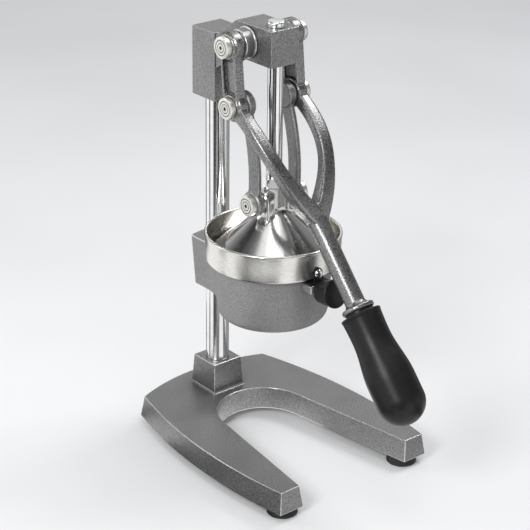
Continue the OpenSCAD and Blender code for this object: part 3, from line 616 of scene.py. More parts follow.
@dataclass(frozen=True)
class TurnedSteel(Finish):
    """Steel with the fine rings that a lathe leaves round one axis."""

    axis_y: float
    axis_z: float
    tint: Colour = (0.95, 0.935, 0.89)
    ring_tint: Colour = (0.5, 0.49, 0.46)
    roughness: float = 0.32
    pitch: float = 0.35
    stain: float = 3.0

    def paint(self, board: Board) -> None:
        """Builds the turned steel's nodes.

        Args:
            board: The board to build on.
        """
        place = board.place()
        _, y, z = board.parts(place)
        radius = board.distance(y - self.axis_y * MM, z - self.axis_z * MM)
        rings = board.math("SINE", radius * (2 * math.pi / (self.pitch * MM))) * 0.5 + 0.5
        stain = board.noise(place, self.stain, 4.0, 0.6)
        colour = board.mix(stain.between(0.4, 0.75), self.tint, dimmed(self.tint, 0.82))
        board.surface(
            base_color=board.mix(rings * 0.12, colour, self.ring_tint),
            metallic=0.92,
            roughness=self.roughness + stain * 0.1,
            normal=board.bump(rings, 0.008),
        )


@dataclass(frozen=True)
class SatinSheet(Finish):
    """Stainless sheet brushed round the cup's axis."""

    axis_y: float
    tint: Colour = (0.87, 0.86, 0.825)
    roughness: float = 0.24
    brush: float = 0.35
    cloud: float = 22.0

    def paint(self, board: Board) -> None:
        """Builds the sheet's nodes.

        Args:
            board: The board to build on.
        """
        place = board.place()
        x, y, z = board.parts(place)
        dy = y - self.axis_y * MM
        turn = board.math("ARCTAN2", dy, x)
        round_cup = board.vector(turn * 0.004, z, board.distance(x, dy))
        lines = board.noise(round_cup, self.brush, 2.0, 0.7)
        cloud = board.noise(place, self.cloud, 3.0)
        colour = board.mix(lines.between(0.35, 0.7), self.tint, dimmed(self.tint, 0.86))
        board.surface(
            base_color=board.mix(cloud.between(0.45, 0.8) * 0.4, colour, dimmed(self.tint, 0.82)),
            metallic=1.0,
            roughness=self.roughness + (lines - 0.5) * 0.10 + (cloud - 0.5) * 0.08,
            normal=board.bump(lines, 0.006),
        )


@dataclass(frozen=True)
class Polished(Finish):
    """Cast metal polished by hand, so its reflections waver. Above one height it is left a little duller."""

    satin_above: float
    tint: Colour = (0.84, 0.84, 0.83)
    roughness: float = 0.13
    waver: float = 0.10
    wave: float = 20.0
    scuff: float = 2.2

    def paint(self, board: Board) -> None:
        """Builds the polished metal's nodes.

        Args:
            board: The board to build on.
        """
        place = board.place()
        satin = board.parts(place)[2].between(self.satin_above * MM, (self.satin_above + 5) * MM)
        wave = board.noise(place, self.wave, 1.0)
        scuff = board.noise(place, self.scuff, 4.0, 0.65)
        board.surface(
            base_color=board.mix(scuff.between(0.5, 0.8) * 0.5, self.tint, dimmed(self.tint, 0.8)),
            metallic=1.0,
            roughness=self.roughness + scuff.between(0.45, 0.8) * 0.08 + satin * 0.05,
            normal=board.bump(wave + scuff * 0.02, self.waver),
        )


@dataclass(frozen=True)
class Moulded(Finish):
    """Moulded black plastic or black paint, with a fine grain and pale wear."""

    shade: float
    roughness: float
    grain: float
    depth: float
    gloss: float = 0.5
    wear: float = 14.0

    def paint(self, board: Board) -> None:
        """Builds the plastic's nodes.

        Args:
            board: The board to build on.
        """
        place = board.place()
        grain = board.noise(place, self.grain, 3.0, 0.6)
        wear = board.noise(place, self.wear, 4.0, 0.6)
        pale = grey(self.shade * 2.4 + 0.004)
        board.surface(
            base_color=board.mix(wear.between(0.5, 0.85) * 0.5, grey(self.shade), pale),
            roughness=self.roughness + (wear - 0.5) * 0.12 + (grain - 0.5) * 0.06,
            specular_ior_level=self.gloss,
            normal=board.bump(grain, self.depth),
        )


@dataclass(frozen=True)
class PlainSteel(Finish):
    """Steel of washers and fasteners, a little dull."""

    tint: Colour = (0.46, 0.45, 0.43)
    roughness: float = 0.34
    stain: float = 2.5
    grain: float = 0.6

    def paint(self, board: Board) -> None:
        """Builds the steel's nodes.

        Args:
            board: The board to build on.
        """
        place = board.place()
        stain = board.noise(place, self.stain, 4.0, 0.6)
        board.surface(
            base_color=board.mix(stain.between(0.4, 0.75), self.tint, dimmed(self.tint, 0.7)),
            metallic=1.0,
            roughness=self.roughness + (stain - 0.5) * 0.2,
            normal=board.bump(board.noise(place, self.grain, 2.0), 0.01),
        )


@dataclass(frozen=True)
class Rubber(Finish):
    """Black rubber with a dusty bloom."""

    shade: float = 0.016
    bloom: float = 5.0
    grain: float = 0.4

    def paint(self, board: Board) -> None:
        """Builds the rubber's nodes.

        Args:
            board: The board to build on.
        """
        place = board.place()
        bloom = board.noise(place, self.bloom, 4.0, 0.7)
        board.surface(
            base_color=board.mix(bloom.between(0.5, 0.8), grey(self.shade), grey(self.shade * 2.5)),
            roughness=0.66 + (bloom - 0.5) * 0.2,
            normal=board.bump(board.noise(place, self.grain, 2.0), 0.03),
        )


# Dark steel of the pin heads' grooves and centre marks: painted shade in those recesses.
GROOVE_SHADE = PlainSteel("groove_steel", (0.19, 0.18, 0.165), 0.5)
SET_SCREW_STEEL = PlainSteel("set_screw_steel", (0.2, 0.2, 0.2), 0.4)
# Dark steel of the pivot washers: painted shade in the gaps between the pivoting parts.
PIVOT_WASHER_SHADE = PlainSteel("washer_steel", (0.16, 0.155, 0.15), 0.4)


# Mesh building


def linked(name: str, data: bpy.types.ID) -> bpy.types.Object:
    """Puts a new object into the scene.

    Args:
        name: Its name.
        data: Its mesh, camera or light.

    Returns:
        The object.
    """
    made = bpy.data.objects.new(name, data)
    bpy.context.scene.collection.objects.link(made)
    return made


class Draft:
    """A piece's faces as they are drawn, in millimetres from the press axis."""

    def __init__(self) -> None:
        """Starts with no faces."""
        self.mesh = bmesh.new()

    def skin(self, rings: Sequence[Sequence[Iterable[float]]]) -> Draft:
        """Stretches faces over rings that have the same number of points, and closes both ends.

        Args:
            rings: The rings, in order.

        Returns:
            This draft.
        """
        rows = [[self.mesh.verts.new(tuple(p)) for p in ring] for ring in rings]
        for a, b in zip(rows, rows[1:]):
            for i in range(len(a)):
                j = (i + 1) % len(a)
                self.mesh.faces.new((a[i], a[j], b[j], b[i]))
        self.mesh.faces.new(rows[0][::-1])
        self.mesh.faces.new(rows[-1])
        return self

    def lathe(
        self,
        profile: Sequence[Pair],
        seat: Matrix,
        segments: int = 96,
        slots: Callable[[int], int] | None = None,
        closed: bool = False,
    ) -> Draft:
        """Turns a profile round the seat's Z axis.

        Args:
            profile: Radius and height of its points. A radius of 0 makes a pole.
            seat: Where the piece sits.
            segments: Number of faces round the axis.
            slots: Material slot of the band that follows a point.
            closed: Whether the last point joins the first, as in a ring.

        Returns:
            This draft.
        """
        rows = []
        turns = turns_from(0, segments)
        for radius, height in profile:
            if radius < POLE_R:
                rows.append([self.mesh.verts.new(seat @ Vector((0, 0, height)))])
                continue
            ring = level_ring(turns, lambda a, r=radius: r, height)
            rows.append([self.mesh.verts.new(seat @ p) for p in ring])
        if closed:
            rows.append(rows[0])
        for k, (a, b) in enumerate(zip(rows, rows[1:])):
            for i in range(segments):
                j = (i + 1) % segments
                corners = [a[i % len(a)], a[j % len(a)], b[j % len(b)], b[i % len(b)]]
                unique = list(dict.fromkeys(corners))
                if len(unique) > 2:
                    self.mesh.faces.new(unique).material_index = slots(k) if slots else 0
        return self

    def box(self, low: Sequence[float], high: Sequence[float], turn: Matrix | None = None) -> Draft:
        """Adds a box between two corners, turned by a matrix.

        Args:
            low: Its lowest corner.
            high: Its highest corner.
            turn: The matrix, if it is turned.

        Returns:
            This draft.
        """
        x0, y0, z0 = low
        x1, y1, z1 = high
        plan = [(x0, y0), (x1, y0), (x1, y1), (x0, y1)]
        turn = turn or Matrix.Identity(4)
        return self.skin([[turn @ Vector((x, y, z)) for x, y in plan] for z in (z0, z1)])

    def plate(self, outline: Sequence[Pair], x0: float, x1: float) -> Draft:
        """Adds a plate whose outline lies in the side plane, between two distances from the middle."""
        return self.skin([[(x, y, z) for y, z in outline] for x in (x0, x1)])

    def taken(self, other: Draft) -> Draft:
        """Takes in the faces of another draft.

        Args:
            other: The other draft.

        Returns:
            This draft.
        """
        mesh = bpy.data.meshes.new("taken")
        other.mesh.to_mesh(mesh)
        self.mesh.from_mesh(mesh)
        bpy.data.meshes.remove(mesh)
        return self


@dataclass(frozen=True)
class Rounding:
    """How a workshop rounds a piece's edges with a bevel."""

    width: float
    segments: int = 3
    angle: float = 38.0


@dataclass(frozen=True)
class Fusing:
    """How a workshop fuses overlapping forms into one casting."""

    voxel: float
    smoothing: int = 4


class Workshop:
    """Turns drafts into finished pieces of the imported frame."""

    def __init__(self, layout: Layout, nodes: dict[str, bpy.types.Object]) -> None:
        """Opens the workshop.

        Args:
            layout: Places and sizes of the press.
            nodes: The CAD nodes by name.
        """
        self.layout = layout
        self.nodes = nodes
        self.made: dict[Finish, bpy.types.Material] = {}

    def material(self, finish: Finish) -> bpy.types.Material:
        """The one material of a finish.

        Args:
            finish: The finish.

        Returns:
            The material, made when it is first asked for.
        """
        if finish not in self.made:
            self.made[finish] = finish.material()
        return self.made[finish]

    def keep(self, finish: Finish, *nodes: str) -> None:
        """Keeps CAD nodes and gives them a finish.

        Args:
            finish: The finish.
            nodes: Names of the nodes.
        """
        for node in nodes:
            materials = self.nodes[node].data.materials
            for i in range(len(materials)):
                materials[i] = self.material(finish)
            log.info("kept %s with %s", node, finish.name)

    def piece(
        self,
        name: str,
        draft: Draft,
        finishes: Sequence[Finish],
        body: Body,
        slot: Slot,
        stands_for: Sequence[str] = (),
        rounding: Rounding | None = None,
        fusing: Fusing | None = None,
        sharp: float = 32.0,
    ) -> bpy.types.Object:
        """Makes a finished piece from a draft.

        Args:
            name: The piece's name.
            draft: Its faces.
            finishes: The finishes of its material slots.
            body: The body that it rides on.
            slot: Not used; it is only passed on to ride, which ignores it.
            stands_for: CAD nodes that it replaces.
            rounding: How its edges are rounded.
            fusing: How its forms are fused.
            sharp: Angle above which an edge stays sharp, in degrees, on pieces that are neither.

        Returns:
            The piece.
        """
        scaled = Matrix.Scale(MM, 4) @ Matrix.Translation((0, self.layout.press_y, 0))
        bmesh.ops.remove_doubles(draft.mesh, verts=draft.mesh.verts, dist=1e-5)
        bmesh.ops.transform(draft.mesh, matrix=scaled, verts=draft.mesh.verts)
        bmesh.ops.recalc_face_normals(draft.mesh, faces=draft.mesh.faces)
        mesh = bpy.data.meshes.new(name)
        draft.mesh.to_mesh(mesh)
        draft.mesh.free()
        mesh.shade_smooth()
        for finish in finishes:
            mesh.materials.append(self.material(finish))
        made = linked(name, mesh)
        if rounding:
            self._round(made, rounding)
        elif fusing:
            self._fuse(made, fusing)
        else:
            mesh.set_sharp_from_angle(angle=math.radians(sharp))
        self.ride(made, body, slot, stands_for)
        return made

    def ride(self, made: bpy.types.Object, body: Body, slot: Slot, stands_for: Sequence[str]) -> None:
        """Puts a piece on its body and hides the nodes that it stands for.

        Args:
            made: The piece.
            body: The body that it rides on.
            slot: Not used.
            stands_for: CAD nodes that it replaces.
        """
        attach(made, body.value)
        if stands_for:
            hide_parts(*stands_for)
        triangles = sum(len(p.vertices) - 2 for p in made.data.polygons)
        log.info("made %s: %d triangles on %s", made.name, triangles, body.value)

    @staticmethod
    def bake(made: bpy.types.Object) -> None:
        """Turns a piece's modifiers into its mesh.

        Args:
            made: The piece.
        """
        graph = bpy.context.evaluated_depsgraph_get()
        result = bpy.data.meshes.new_from_object(made.evaluated_get(graph), depsgraph=graph)
        made.modifiers.clear()
        old = made.data
        made.data = result
        result.name = made.name
        bpy.data.meshes.remove(old)

    def _round(self, made: bpy.types.Object, rounding: Rounding) -> None:
        """Rounds a piece's edges and marks the rounded faces with its second slot.

        Args:
            made: The piece.
            rounding: How its edges are rounded.
        """
        bevel = made.modifiers.new("round", "BEVEL")
        bevel.width = rounding.width * MM
        bevel.segments = rounding.segments
        bevel.limit_method = "ANGLE"
        bevel.angle_limit = math.radians(rounding.angle)
        bevel.harden_normals = True
        bevel.miter_outer = "MITER_ARC"
        bevel.material = 1
        self.bake(made)

    def _fuse(self, made: bpy.types.Object, fusing: Fusing) -> None:
        """Fuses a piece's forms, softens them and stores how much each point stands out.

        Args:
            made: The piece.
            fusing: How its forms are fused.
        """
        remesh = made.modifiers.new("fuse", "REMESH")
        remesh.mode = "VOXEL"
        remesh.voxel_size = fusing.voxel * MM
        remesh.use_smooth_shade = True
        soften = made.modifiers.new("soften", "SMOOTH")
        soften.factor = 0.5
        soften.iterations = fusing.smoothing
        self.bake(made)
        relief = self._relief(made.data, fusing.voxel * MM)
        # Ridges feed the bright worn edges and their painted highlight; creases feed the painted shade.
        for name, values in ((EDGE_ATTRIBUTE, relief), (HOLLOW_ATTRIBUTE, -relief)):
            stored = made.data.attributes.new(name, "FLOAT", "POINT")
            stored.data.foreach_set("value", np.clip(values, 0, 1).astype(np.float32))

    @staticmethod
    def _relief(mesh: bpy.types.Mesh, step: float) -> np.ndarray:
        """How far each point stands out from its surroundings: about 1 on a ridge and -1 in a groove.

        Args:
            mesh: The fused mesh.
            step: Size of its voxels in metres.

        Returns:
            One number for each point.
        """

        def table(rows: bpy.types.bpy_prop_collection, key: str, width: int, kind: type) -> np.ndarray:
            """One property of all rows, as an array.

            Args:
                rows: The mesh's points or edges.
                key: The property.
                width: How many numbers it has.
                kind: Their type.

            Returns:
                One line for each row.
            """
            flat = np.zeros(len(rows) * width, kind)
            rows.foreach_get(key, flat)
            return flat.reshape(-1, width)

        places = table(mesh.vertices, "co", 3, np.float32).astype(float)
        ways = table(mesh.vertex_normals, "vector", 3, np.float32)
        pairs = table(mesh.edges, "vertices", 2, np.int32)
        degree = np.bincount(pairs.ravel(), minlength=len(places)).clip(1)

        def around(values: np.ndarray) -> np.ndarray:
            """Mean of the neighbours' values.

            Args:
                values: A number or a vector for each point.

            Returns:
                Their means, in the same order.
            """
            total = np.zeros_like(values)
            np.add.at(total, pairs[:, 0], values[pairs[:, 1]])
            np.add.at(total, pairs[:, 1], values[pairs[:, 0]])
            return total / (degree[:, None] if values.ndim > 1 else degree)

        smooth = places
        for _ in range(3):
            smooth = around(smooth)
        relief = ((places - smooth) * ways).sum(1) / step
        for _ in range(2):
            relief = 0.5 * relief + 0.5 * around(relief)
        return relief * RELIEF_GAIN


class GeometryTree:
    """A Geometry Nodes tree that is built in code."""

    def __init__(self, name: str) -> None:
        """Starts an empty tree with a geometry output.

        Args:
            name: The tree's name.
        """
        self.tree = bpy.data.node_groups.new(name, "GeometryNodeTree")
        self.tree.interface.new_socket("Geometry", in_out="OUTPUT", socket_type="NodeSocketGeometry")
        self.entry = self.tree.nodes.new("NodeGroupInput")
        self.sizes: dict[str, float] = {}

    def entrance(self, name: str, kind: str) -> tuple[str, bpy.types.NodeSocket]:
        """Adds a named input and returns its identifier and its socket inside the tree."""
        item = self.tree.interface.new_socket(name, in_out="INPUT", socket_type=kind)
        return item.identifier, next(s for s in self.entry.outputs if s.identifier == item.identifier)

    def size(self, name: str, value: float, kind: str = "NodeSocketFloat") -> bpy.types.NodeSocket:
        """Adds an input with its value.

        Args:
            name: The input's name.
            value: Its value.
            kind: Its socket's type.

        Returns:
            Its socket inside the tree.
        """
        identifier, socket = self.entrance(name, kind)
        self.sizes[identifier] = value
        return socket

    def math(self, operation: str, *values: bpy.types.NodeSocket | float) -> bpy.types.NodeSocket:
        """Adds a Math node on two values."""
        return self.add("ShaderNodeMath", {"operation": operation}, dict(enumerate(values)))[0]

    def vector(self, **parts: bpy.types.NodeSocket) -> bpy.types.NodeSocket:
        """A vector whose X, Y or Z are given by name."""
        return self.add("ShaderNodeCombineXYZ", None, parts)[0]

    def add(self, kind: str, settings: dict | None = None, sockets: dict | None = None) -> bpy.types.NodeOutputs:
        """Adds a node with its settings and its sockets' values or links, and returns its outputs.

        Args:
            kind: The node's type.
            settings: Its settings.
            sockets: Values or links of its input sockets.

        Returns:
            Its outputs.
        """
        node = self.tree.nodes.new(kind)
        for key, value in (settings or {}).items():
            setattr(node, key, value)
        for key, value in (sockets or {}).items():
            if isinstance(value, bpy.types.NodeSocket):
                self.tree.links.new(value, node.inputs[key])
            else:
                node.inputs[key].default_value = value
        return node.outputs

    def finish(self, instances: bpy.types.NodeSocket, material: bpy.types.Material) -> None:
        """Ends the tree in Realize Instances and Set Material.

        Args:
            instances: The instances.
            material: Their material.
        """
        real = self.add("GeometryNodeRealizeInstances", None, {"Geometry": instances})
        painted = self.add("GeometryNodeSetMaterial", None, {"Geometry": real[0], "Material": material})
        leave = self.tree.nodes.new("NodeGroupOutput")
        self.tree.links.new(painted[0], leave.inputs[0])

    def mesh(self, name: str, start: bpy.types.Mesh | None = None) -> bpy.types.Object:
        """Runs the tree on a new object and turns its result into a plain mesh.

        Args:
            name: The new object's name.
            start: Its mesh before the tree, if the tree takes one.

        Returns:
            The object, without its modifier.
        """
        made = linked(name, start or bpy.data.meshes.new(name))
        modifier = made.modifiers.new("repeat", "NODES")
        modifier.node_group = self.tree
        for identifier, value in self.sizes.items():
            modifier[identifier] = value
        Workshop.bake(made)
        return made


# Sub-assemblies


@dataclass
class BaseCasting:
    """The two-legged cast base with its column socket, feet and fastenings."""

    shop: Workshop
    enamels: Sequence[Finish]
    height: float = 21.4
    ahead: float = 119.4
    behind: float = 103.9
    tip_half: float = 86.7
    rear_half: float = 74.9
    side_bow: float = 12.4
    rear_bow: float = 15.5
    gap_r: float = 46.0
    gap_behind: float = 9.0
    gap_tip_half: float = 65.3
    draft: float = 2.8
    socket_half: float = 16.4
    socket_draft: float = 2.0
    fillet: float = 2.2
    column_play: float = 0.5
    hole_depth: float = 4.0

    def outline(self, grown: float) -> list[Pair]:
        """The horseshoe's outline, drawn out by so much.

        Args:
            grown: How far it is drawn out.

        Returns:
            Its points.
        """
        tip = (self.tip_half + grown, -self.ahead - grown)
        corner = (self.rear_half + grown, self.behind + grown)
        right = bowed(tip, corner, self.side_bow, 24)
        rear = bowed(corner, (-corner[0], corner[1]), self.rear_bow, 20)
        outer = right + rear[1:-1] + mirrored(right)
        return outer + list(reversed(self.gap(grown)))

    def gap(self, grown: float) -> list[Pair]:
        """The edge of the gap between the legs, from the right tip to the left one.

        Args:
            grown: How far the base is drawn out.

        Returns:
            Its points.
        """
        tip = Vector((self.gap_tip_half - grown, -self.ahead - grown))
        centre = Vector((0, self.gap_behind))
        radius = self.gap_r - grown
        way = tip - centre
        touch = math.degrees(math.atan2(way.y, way.x) + math.acos(radius / way.length))
        round_end = arc((0, self.gap_behind), radius, touch, 180 - touch, 48)
        return [tuple(tip), *round_end, (-tip.x, tip.y)]

    def socket(self) -> Draft:
        """The square socket with the hole that takes the column.

        Returns:
            The draft.
        """
        place = self.shop.layout
        steps = 48
        hole = place.column_r + self.column_play
        turns = [2 * math.pi * (i + 0.5) / steps for i in range(steps)]

        def square(half: float, z: float) -> list[Vector]:
            """A square ring with its points on the same rays as the hole's, apart from its corners.

            Args:
                half: Half of its width.
                z: Its height.

            Returns:
                Its points.
            """
            points = []
            for c, s in ((math.cos(a), math.sin(a)) for a in turns):
                reach = half / max(abs(c), abs(s))
                points.append(Vector((reach * c, place.column_y + reach * s, z)))
            for k, (right, back) in enumerate(((1, 1), (-1, 1), (-1, -1), (1, -1))):
                nearest = (2 * k + 1) * steps // 8 - 1
                points[nearest] = Vector((right * half, place.column_y + back * half, z))
            return points

        def ring(radius: float, z: float) -> list[Vector]:
            """A round ring in the hole."""
            return [Vector((radius * math.cos(a), place.column_y + radius * math.sin(a), z)) for a in turns]

        root_z, top = place.base_bottom + self.height - 1, place.socket_top
        rings = [square(self.socket_half + self.socket_draft, root_z), square(self.socket_half, top)]
        rings += [ring(hole, top), ring(hole, top - self.hole_depth)]
        return Draft().skin(rings)

    def socket_fillet(self) -> Draft:
        """The cove between the socket and the base's top.

        Returns:
            The draft.
        """
        place = self.shop.layout
        base_top = place.base_bottom + self.height
        slope = self.socket_draft / (place.socket_top - base_top)
        sunk = 0.05
        rings = []
        for turn in (math.radians(a) for a in spread(0, 90, 5)):
            out = self.fillet * (1 - math.sin(turn)) - sunk
            up = self.fillet * (1 - math.cos(turn)) - sunk
            half = self.socket_half + self.socket_draft - slope * up + out
            corner = out * 0.6 + 1.2
            plan = []
            for cx, cy, start in ((1, -1, -90), (1, 1, 0), (-1, 1, 90), (-1, -1, 180)):
                centre = (cx * (half - corner), place.column_y + cy * (half - corner))
                plan += arc(centre, corner, start, start + 90, 4)
            rings.append([(x, y, base_top + up) for x, y in plan])
        return Draft().skin(rings)

    def build(self) -> None:
        """Makes the base and dresses its feet and fastenings."""
        place = self.shop.layout
        top = place.base_bottom + self.height
        levels = ((self.draft, place.base_bottom), (0.0, top))
        body = Draft().skin([[(x, y, z) for x, y in self.outline(g)] for g, z in levels])
        body.taken(self.socket()).taken(self.socket_fillet())
        self.shop.piece("base_casting", body, self.enamels, Body.FRAME, Slot.CASTING, ("base",), rounding=Rounding(1.5))
        feet = ("foot_front_left", "foot_front_right", "foot_rear_left", "foot_rear_right")
        self.shop.keep(Rubber("foot_rubber"), *feet)
        self.shop.keep(PlainSteel("fastener_steel"), "foot_screws", "column_bolt", "column_washer")


@dataclass
class ColumnAndHead:
    """The chrome column and the cast head on it."""

    shop: Workshop
    enamels: Sequence[Finish]
    block_half: float = 16.7
    block_height: float = 65.5
    nose_half: float = 15.8
    nose_ahead: float = 12.7
    nose_behind: float = 36.6
    nose_height: float = 33.3
    nose_rise: float = 19.3
    bridge_drop: float = 19.0
    boss_r: float = 13.5
    boss_root_r: float = 14.8
    boss_root_end: float = 18.4
    boss_end: float = 27.6
    roof_step: float = 1.4

    def boss(self, side: Side) -> Draft:
        """A trunnion boss with its raised root.

        Args:
            side: The side that it is on.

        Returns:
            The draft.
        """
        root = 10.0
        profile = [(0, root), (self.boss_root_r, root), *soft_corner(self.boss_root_r, self.boss_root_end)]
        profile += [(self.boss_r, self.boss_root_end), *soft_corner(self.boss_r, self.boss_end), (0, self.boss_end)]
        seat = across(self.shop.layout.pivot, 0, side)
        return Draft().lathe(profile, seat, slots=lambda k: int(k in (2, 3, 6, 7)))

    def build(self) -> None:
        """Makes the head and dresses the column and the set screws."""
        place = self.shop.layout
        rear, front = place.column_y + self.block_half, place.column_y - self.block_half
        block_top = place.block_z + self.block_height
        nose_top = block_top + self.nose_rise
        nose_z = nose_top - self.nose_height
        head = Draft()
        head.box((-self.block_half, front, place.block_z), (self.block_half, rear, block_top))
        nose = [
            (-self.nose_ahead, nose_z),
            (self.nose_behind, nose_z),
            (front, nose_z - self.bridge_drop),
            (place.column_y, nose_z - self.bridge_drop),
            (place.column_y, block_top - self.roof_step),
            (front, block_top - self.roof_step),
            (self.nose_behind, nose_top),
            (-self.nose_ahead, nose_top),
        ]
        head.plate(nose, -self.nose_half, self.nose_half)
        for side in Side:
            head.taken(self.boss(side))
        rounding = Rounding(1.3, angle=22.0)
        self.shop.piece("head_casting", head, self.enamels, Body.FRAME, Slot.CASTING, ("head",), rounding=rounding)
        self.shop.keep(MirrorChrome("column_chrome", roughness=0.13, ground=1.0), "column")
        self.shop.keep(SET_SCREW_STEEL, "head_screws", "holder_screw")


@dataclass
class CupHolder:
    """The cast bowl on its bracket round the column."""

    shop: Workshop
    enamels: Sequence[Finish]
    bowl_r: float = 55.5
    bowl_taper: float = 4.0
    wall: float = 4.0
    bottom_round: float = 9.0
    spout_hole_r: float = 13.2
    arm_top_half: float = 21.0
    arm_bottom_half: float = 18.0
    arm_drop: float = 4.9
    arm_behind: float = 14.6
    arm_bow: float = 3.5
    arm_fillet: float = 50.0
    lug_in: float = 5.9
    lug_width: float = 4.6
    lug_height: float = 8.3
    lug_drop: float = 3.9
    lug_reach: float = 66.5

    def radius_at(self, z: float) -> float:
        """The bowl's outer radius at a height."""
        place = self.shop.layout
        return self.bowl_r - self.bowl_taper * (place.shoulder_z - z) / (place.shoulder_z - place.bowl_z)

    def bowl(self) -> Draft:
        """The bowl with its cavity and the hole for the spout.

        Returns:
            The draft.
        """
        place = self.shop.layout
        low, high = place.bowl_z, place.shoulder_z
        foot = self.radius_at(low + self.bottom_round)
        outside = arc((foot - self.bottom_round, low + self.bottom_round), self.bottom_round, -90, 0, 10)
        floor = low + self.wall + 1
        inner = self.radius_at(floor) - self.wall
        lip, floor_round = 1.0, 6.0
        profile = [(self.spout_hole_r, low), *outside]
        profile += [(self.bowl_r - 0.1, high - lip), (self.bowl_r - 0.4, high - 0.3), (self.bowl_r - lip, high)]
        profile += [(self.bowl_r - self.wall + 0.5, high), (self.bowl_r - self.wall, high - 0.5)]
        profile += arc((inner - floor_round, floor + floor_round), floor_round, 0, -90, 6)
        profile += [(self.spout_hole_r, floor)]
        # The lip's bands take the second slot, bright worn metal that is also a painted highlight.
        lip_at = 1 + len(outside)
        worn_and_highlight = range(lip_at, lip_at + 3)
        return Draft().lathe(profile, upright(0, 0, 0), 128, slots=lambda k: int(k in worn_and_highlight), closed=True)

    def arm_outline(self, radius: float, half: float, behind: float) -> list[Pair]:
        """Outline of the bracket at one height: fillets off the bowl, flat flanks and a bowed rear face.

        Args:
            radius: The bowl's radius there.
            half: Half of the bracket's width.
            behind: How far it reaches behind the column's axis.

        Returns:
            The outline, from the right side of the bowl to the left.
        """
        from_y = math.sqrt((self.bowl_r + self.arm_fillet) ** 2 - (self.arm_top_half + self.arm_fillet) ** 2)
        start = radius - 0.5
        rear = self.shop.layout.column_y + behind
        fillet = (half * half + from_y * from_y - start * start) / (2 * (start - half))
        centre = (half + fillet, from_y)
        right = arc(centre, fillet, 180 + math.degrees(math.atan2(centre[1], centre[0])), 180, 14)
        back = bowed((half, rear), (-half, rear), self.arm_bow, 12)
        return right + back + mirrored(right)

    def build(self) -> None:
        """Makes the holder."""
        place = self.shop.layout
        top, low = place.shoulder_z - self.arm_drop, place.bowl_z
        levels = (
            (low, self.radius_at(low) - 1, self.arm_bottom_half, self.arm_behind - 2),
            (top, self.radius_at(top), self.arm_top_half, self.arm_behind),
        )
        arm = Draft().skin([[(x, y, z) for x, y in self.arm_outline(*sizes)] for z, *sizes in levels])
        lug_top = place.shoulder_z - self.lug_drop
        for side in Side:
            near, far = sorted((side.value * self.lug_in, side.value * (self.lug_in + self.lug_width)))
            arm.box((near, -self.lug_reach, lug_top - self.lug_height), (far, -self.bowl_r + self.wall, lug_top))
        arm.taken(self.bowl())
        rounding = Rounding(1.4, angle=50.0)
        self.shop.piece("holder_casting", arm, self.enamels, Body.FRAME, Slot.CASTING, ("holder",), rounding=rounding)


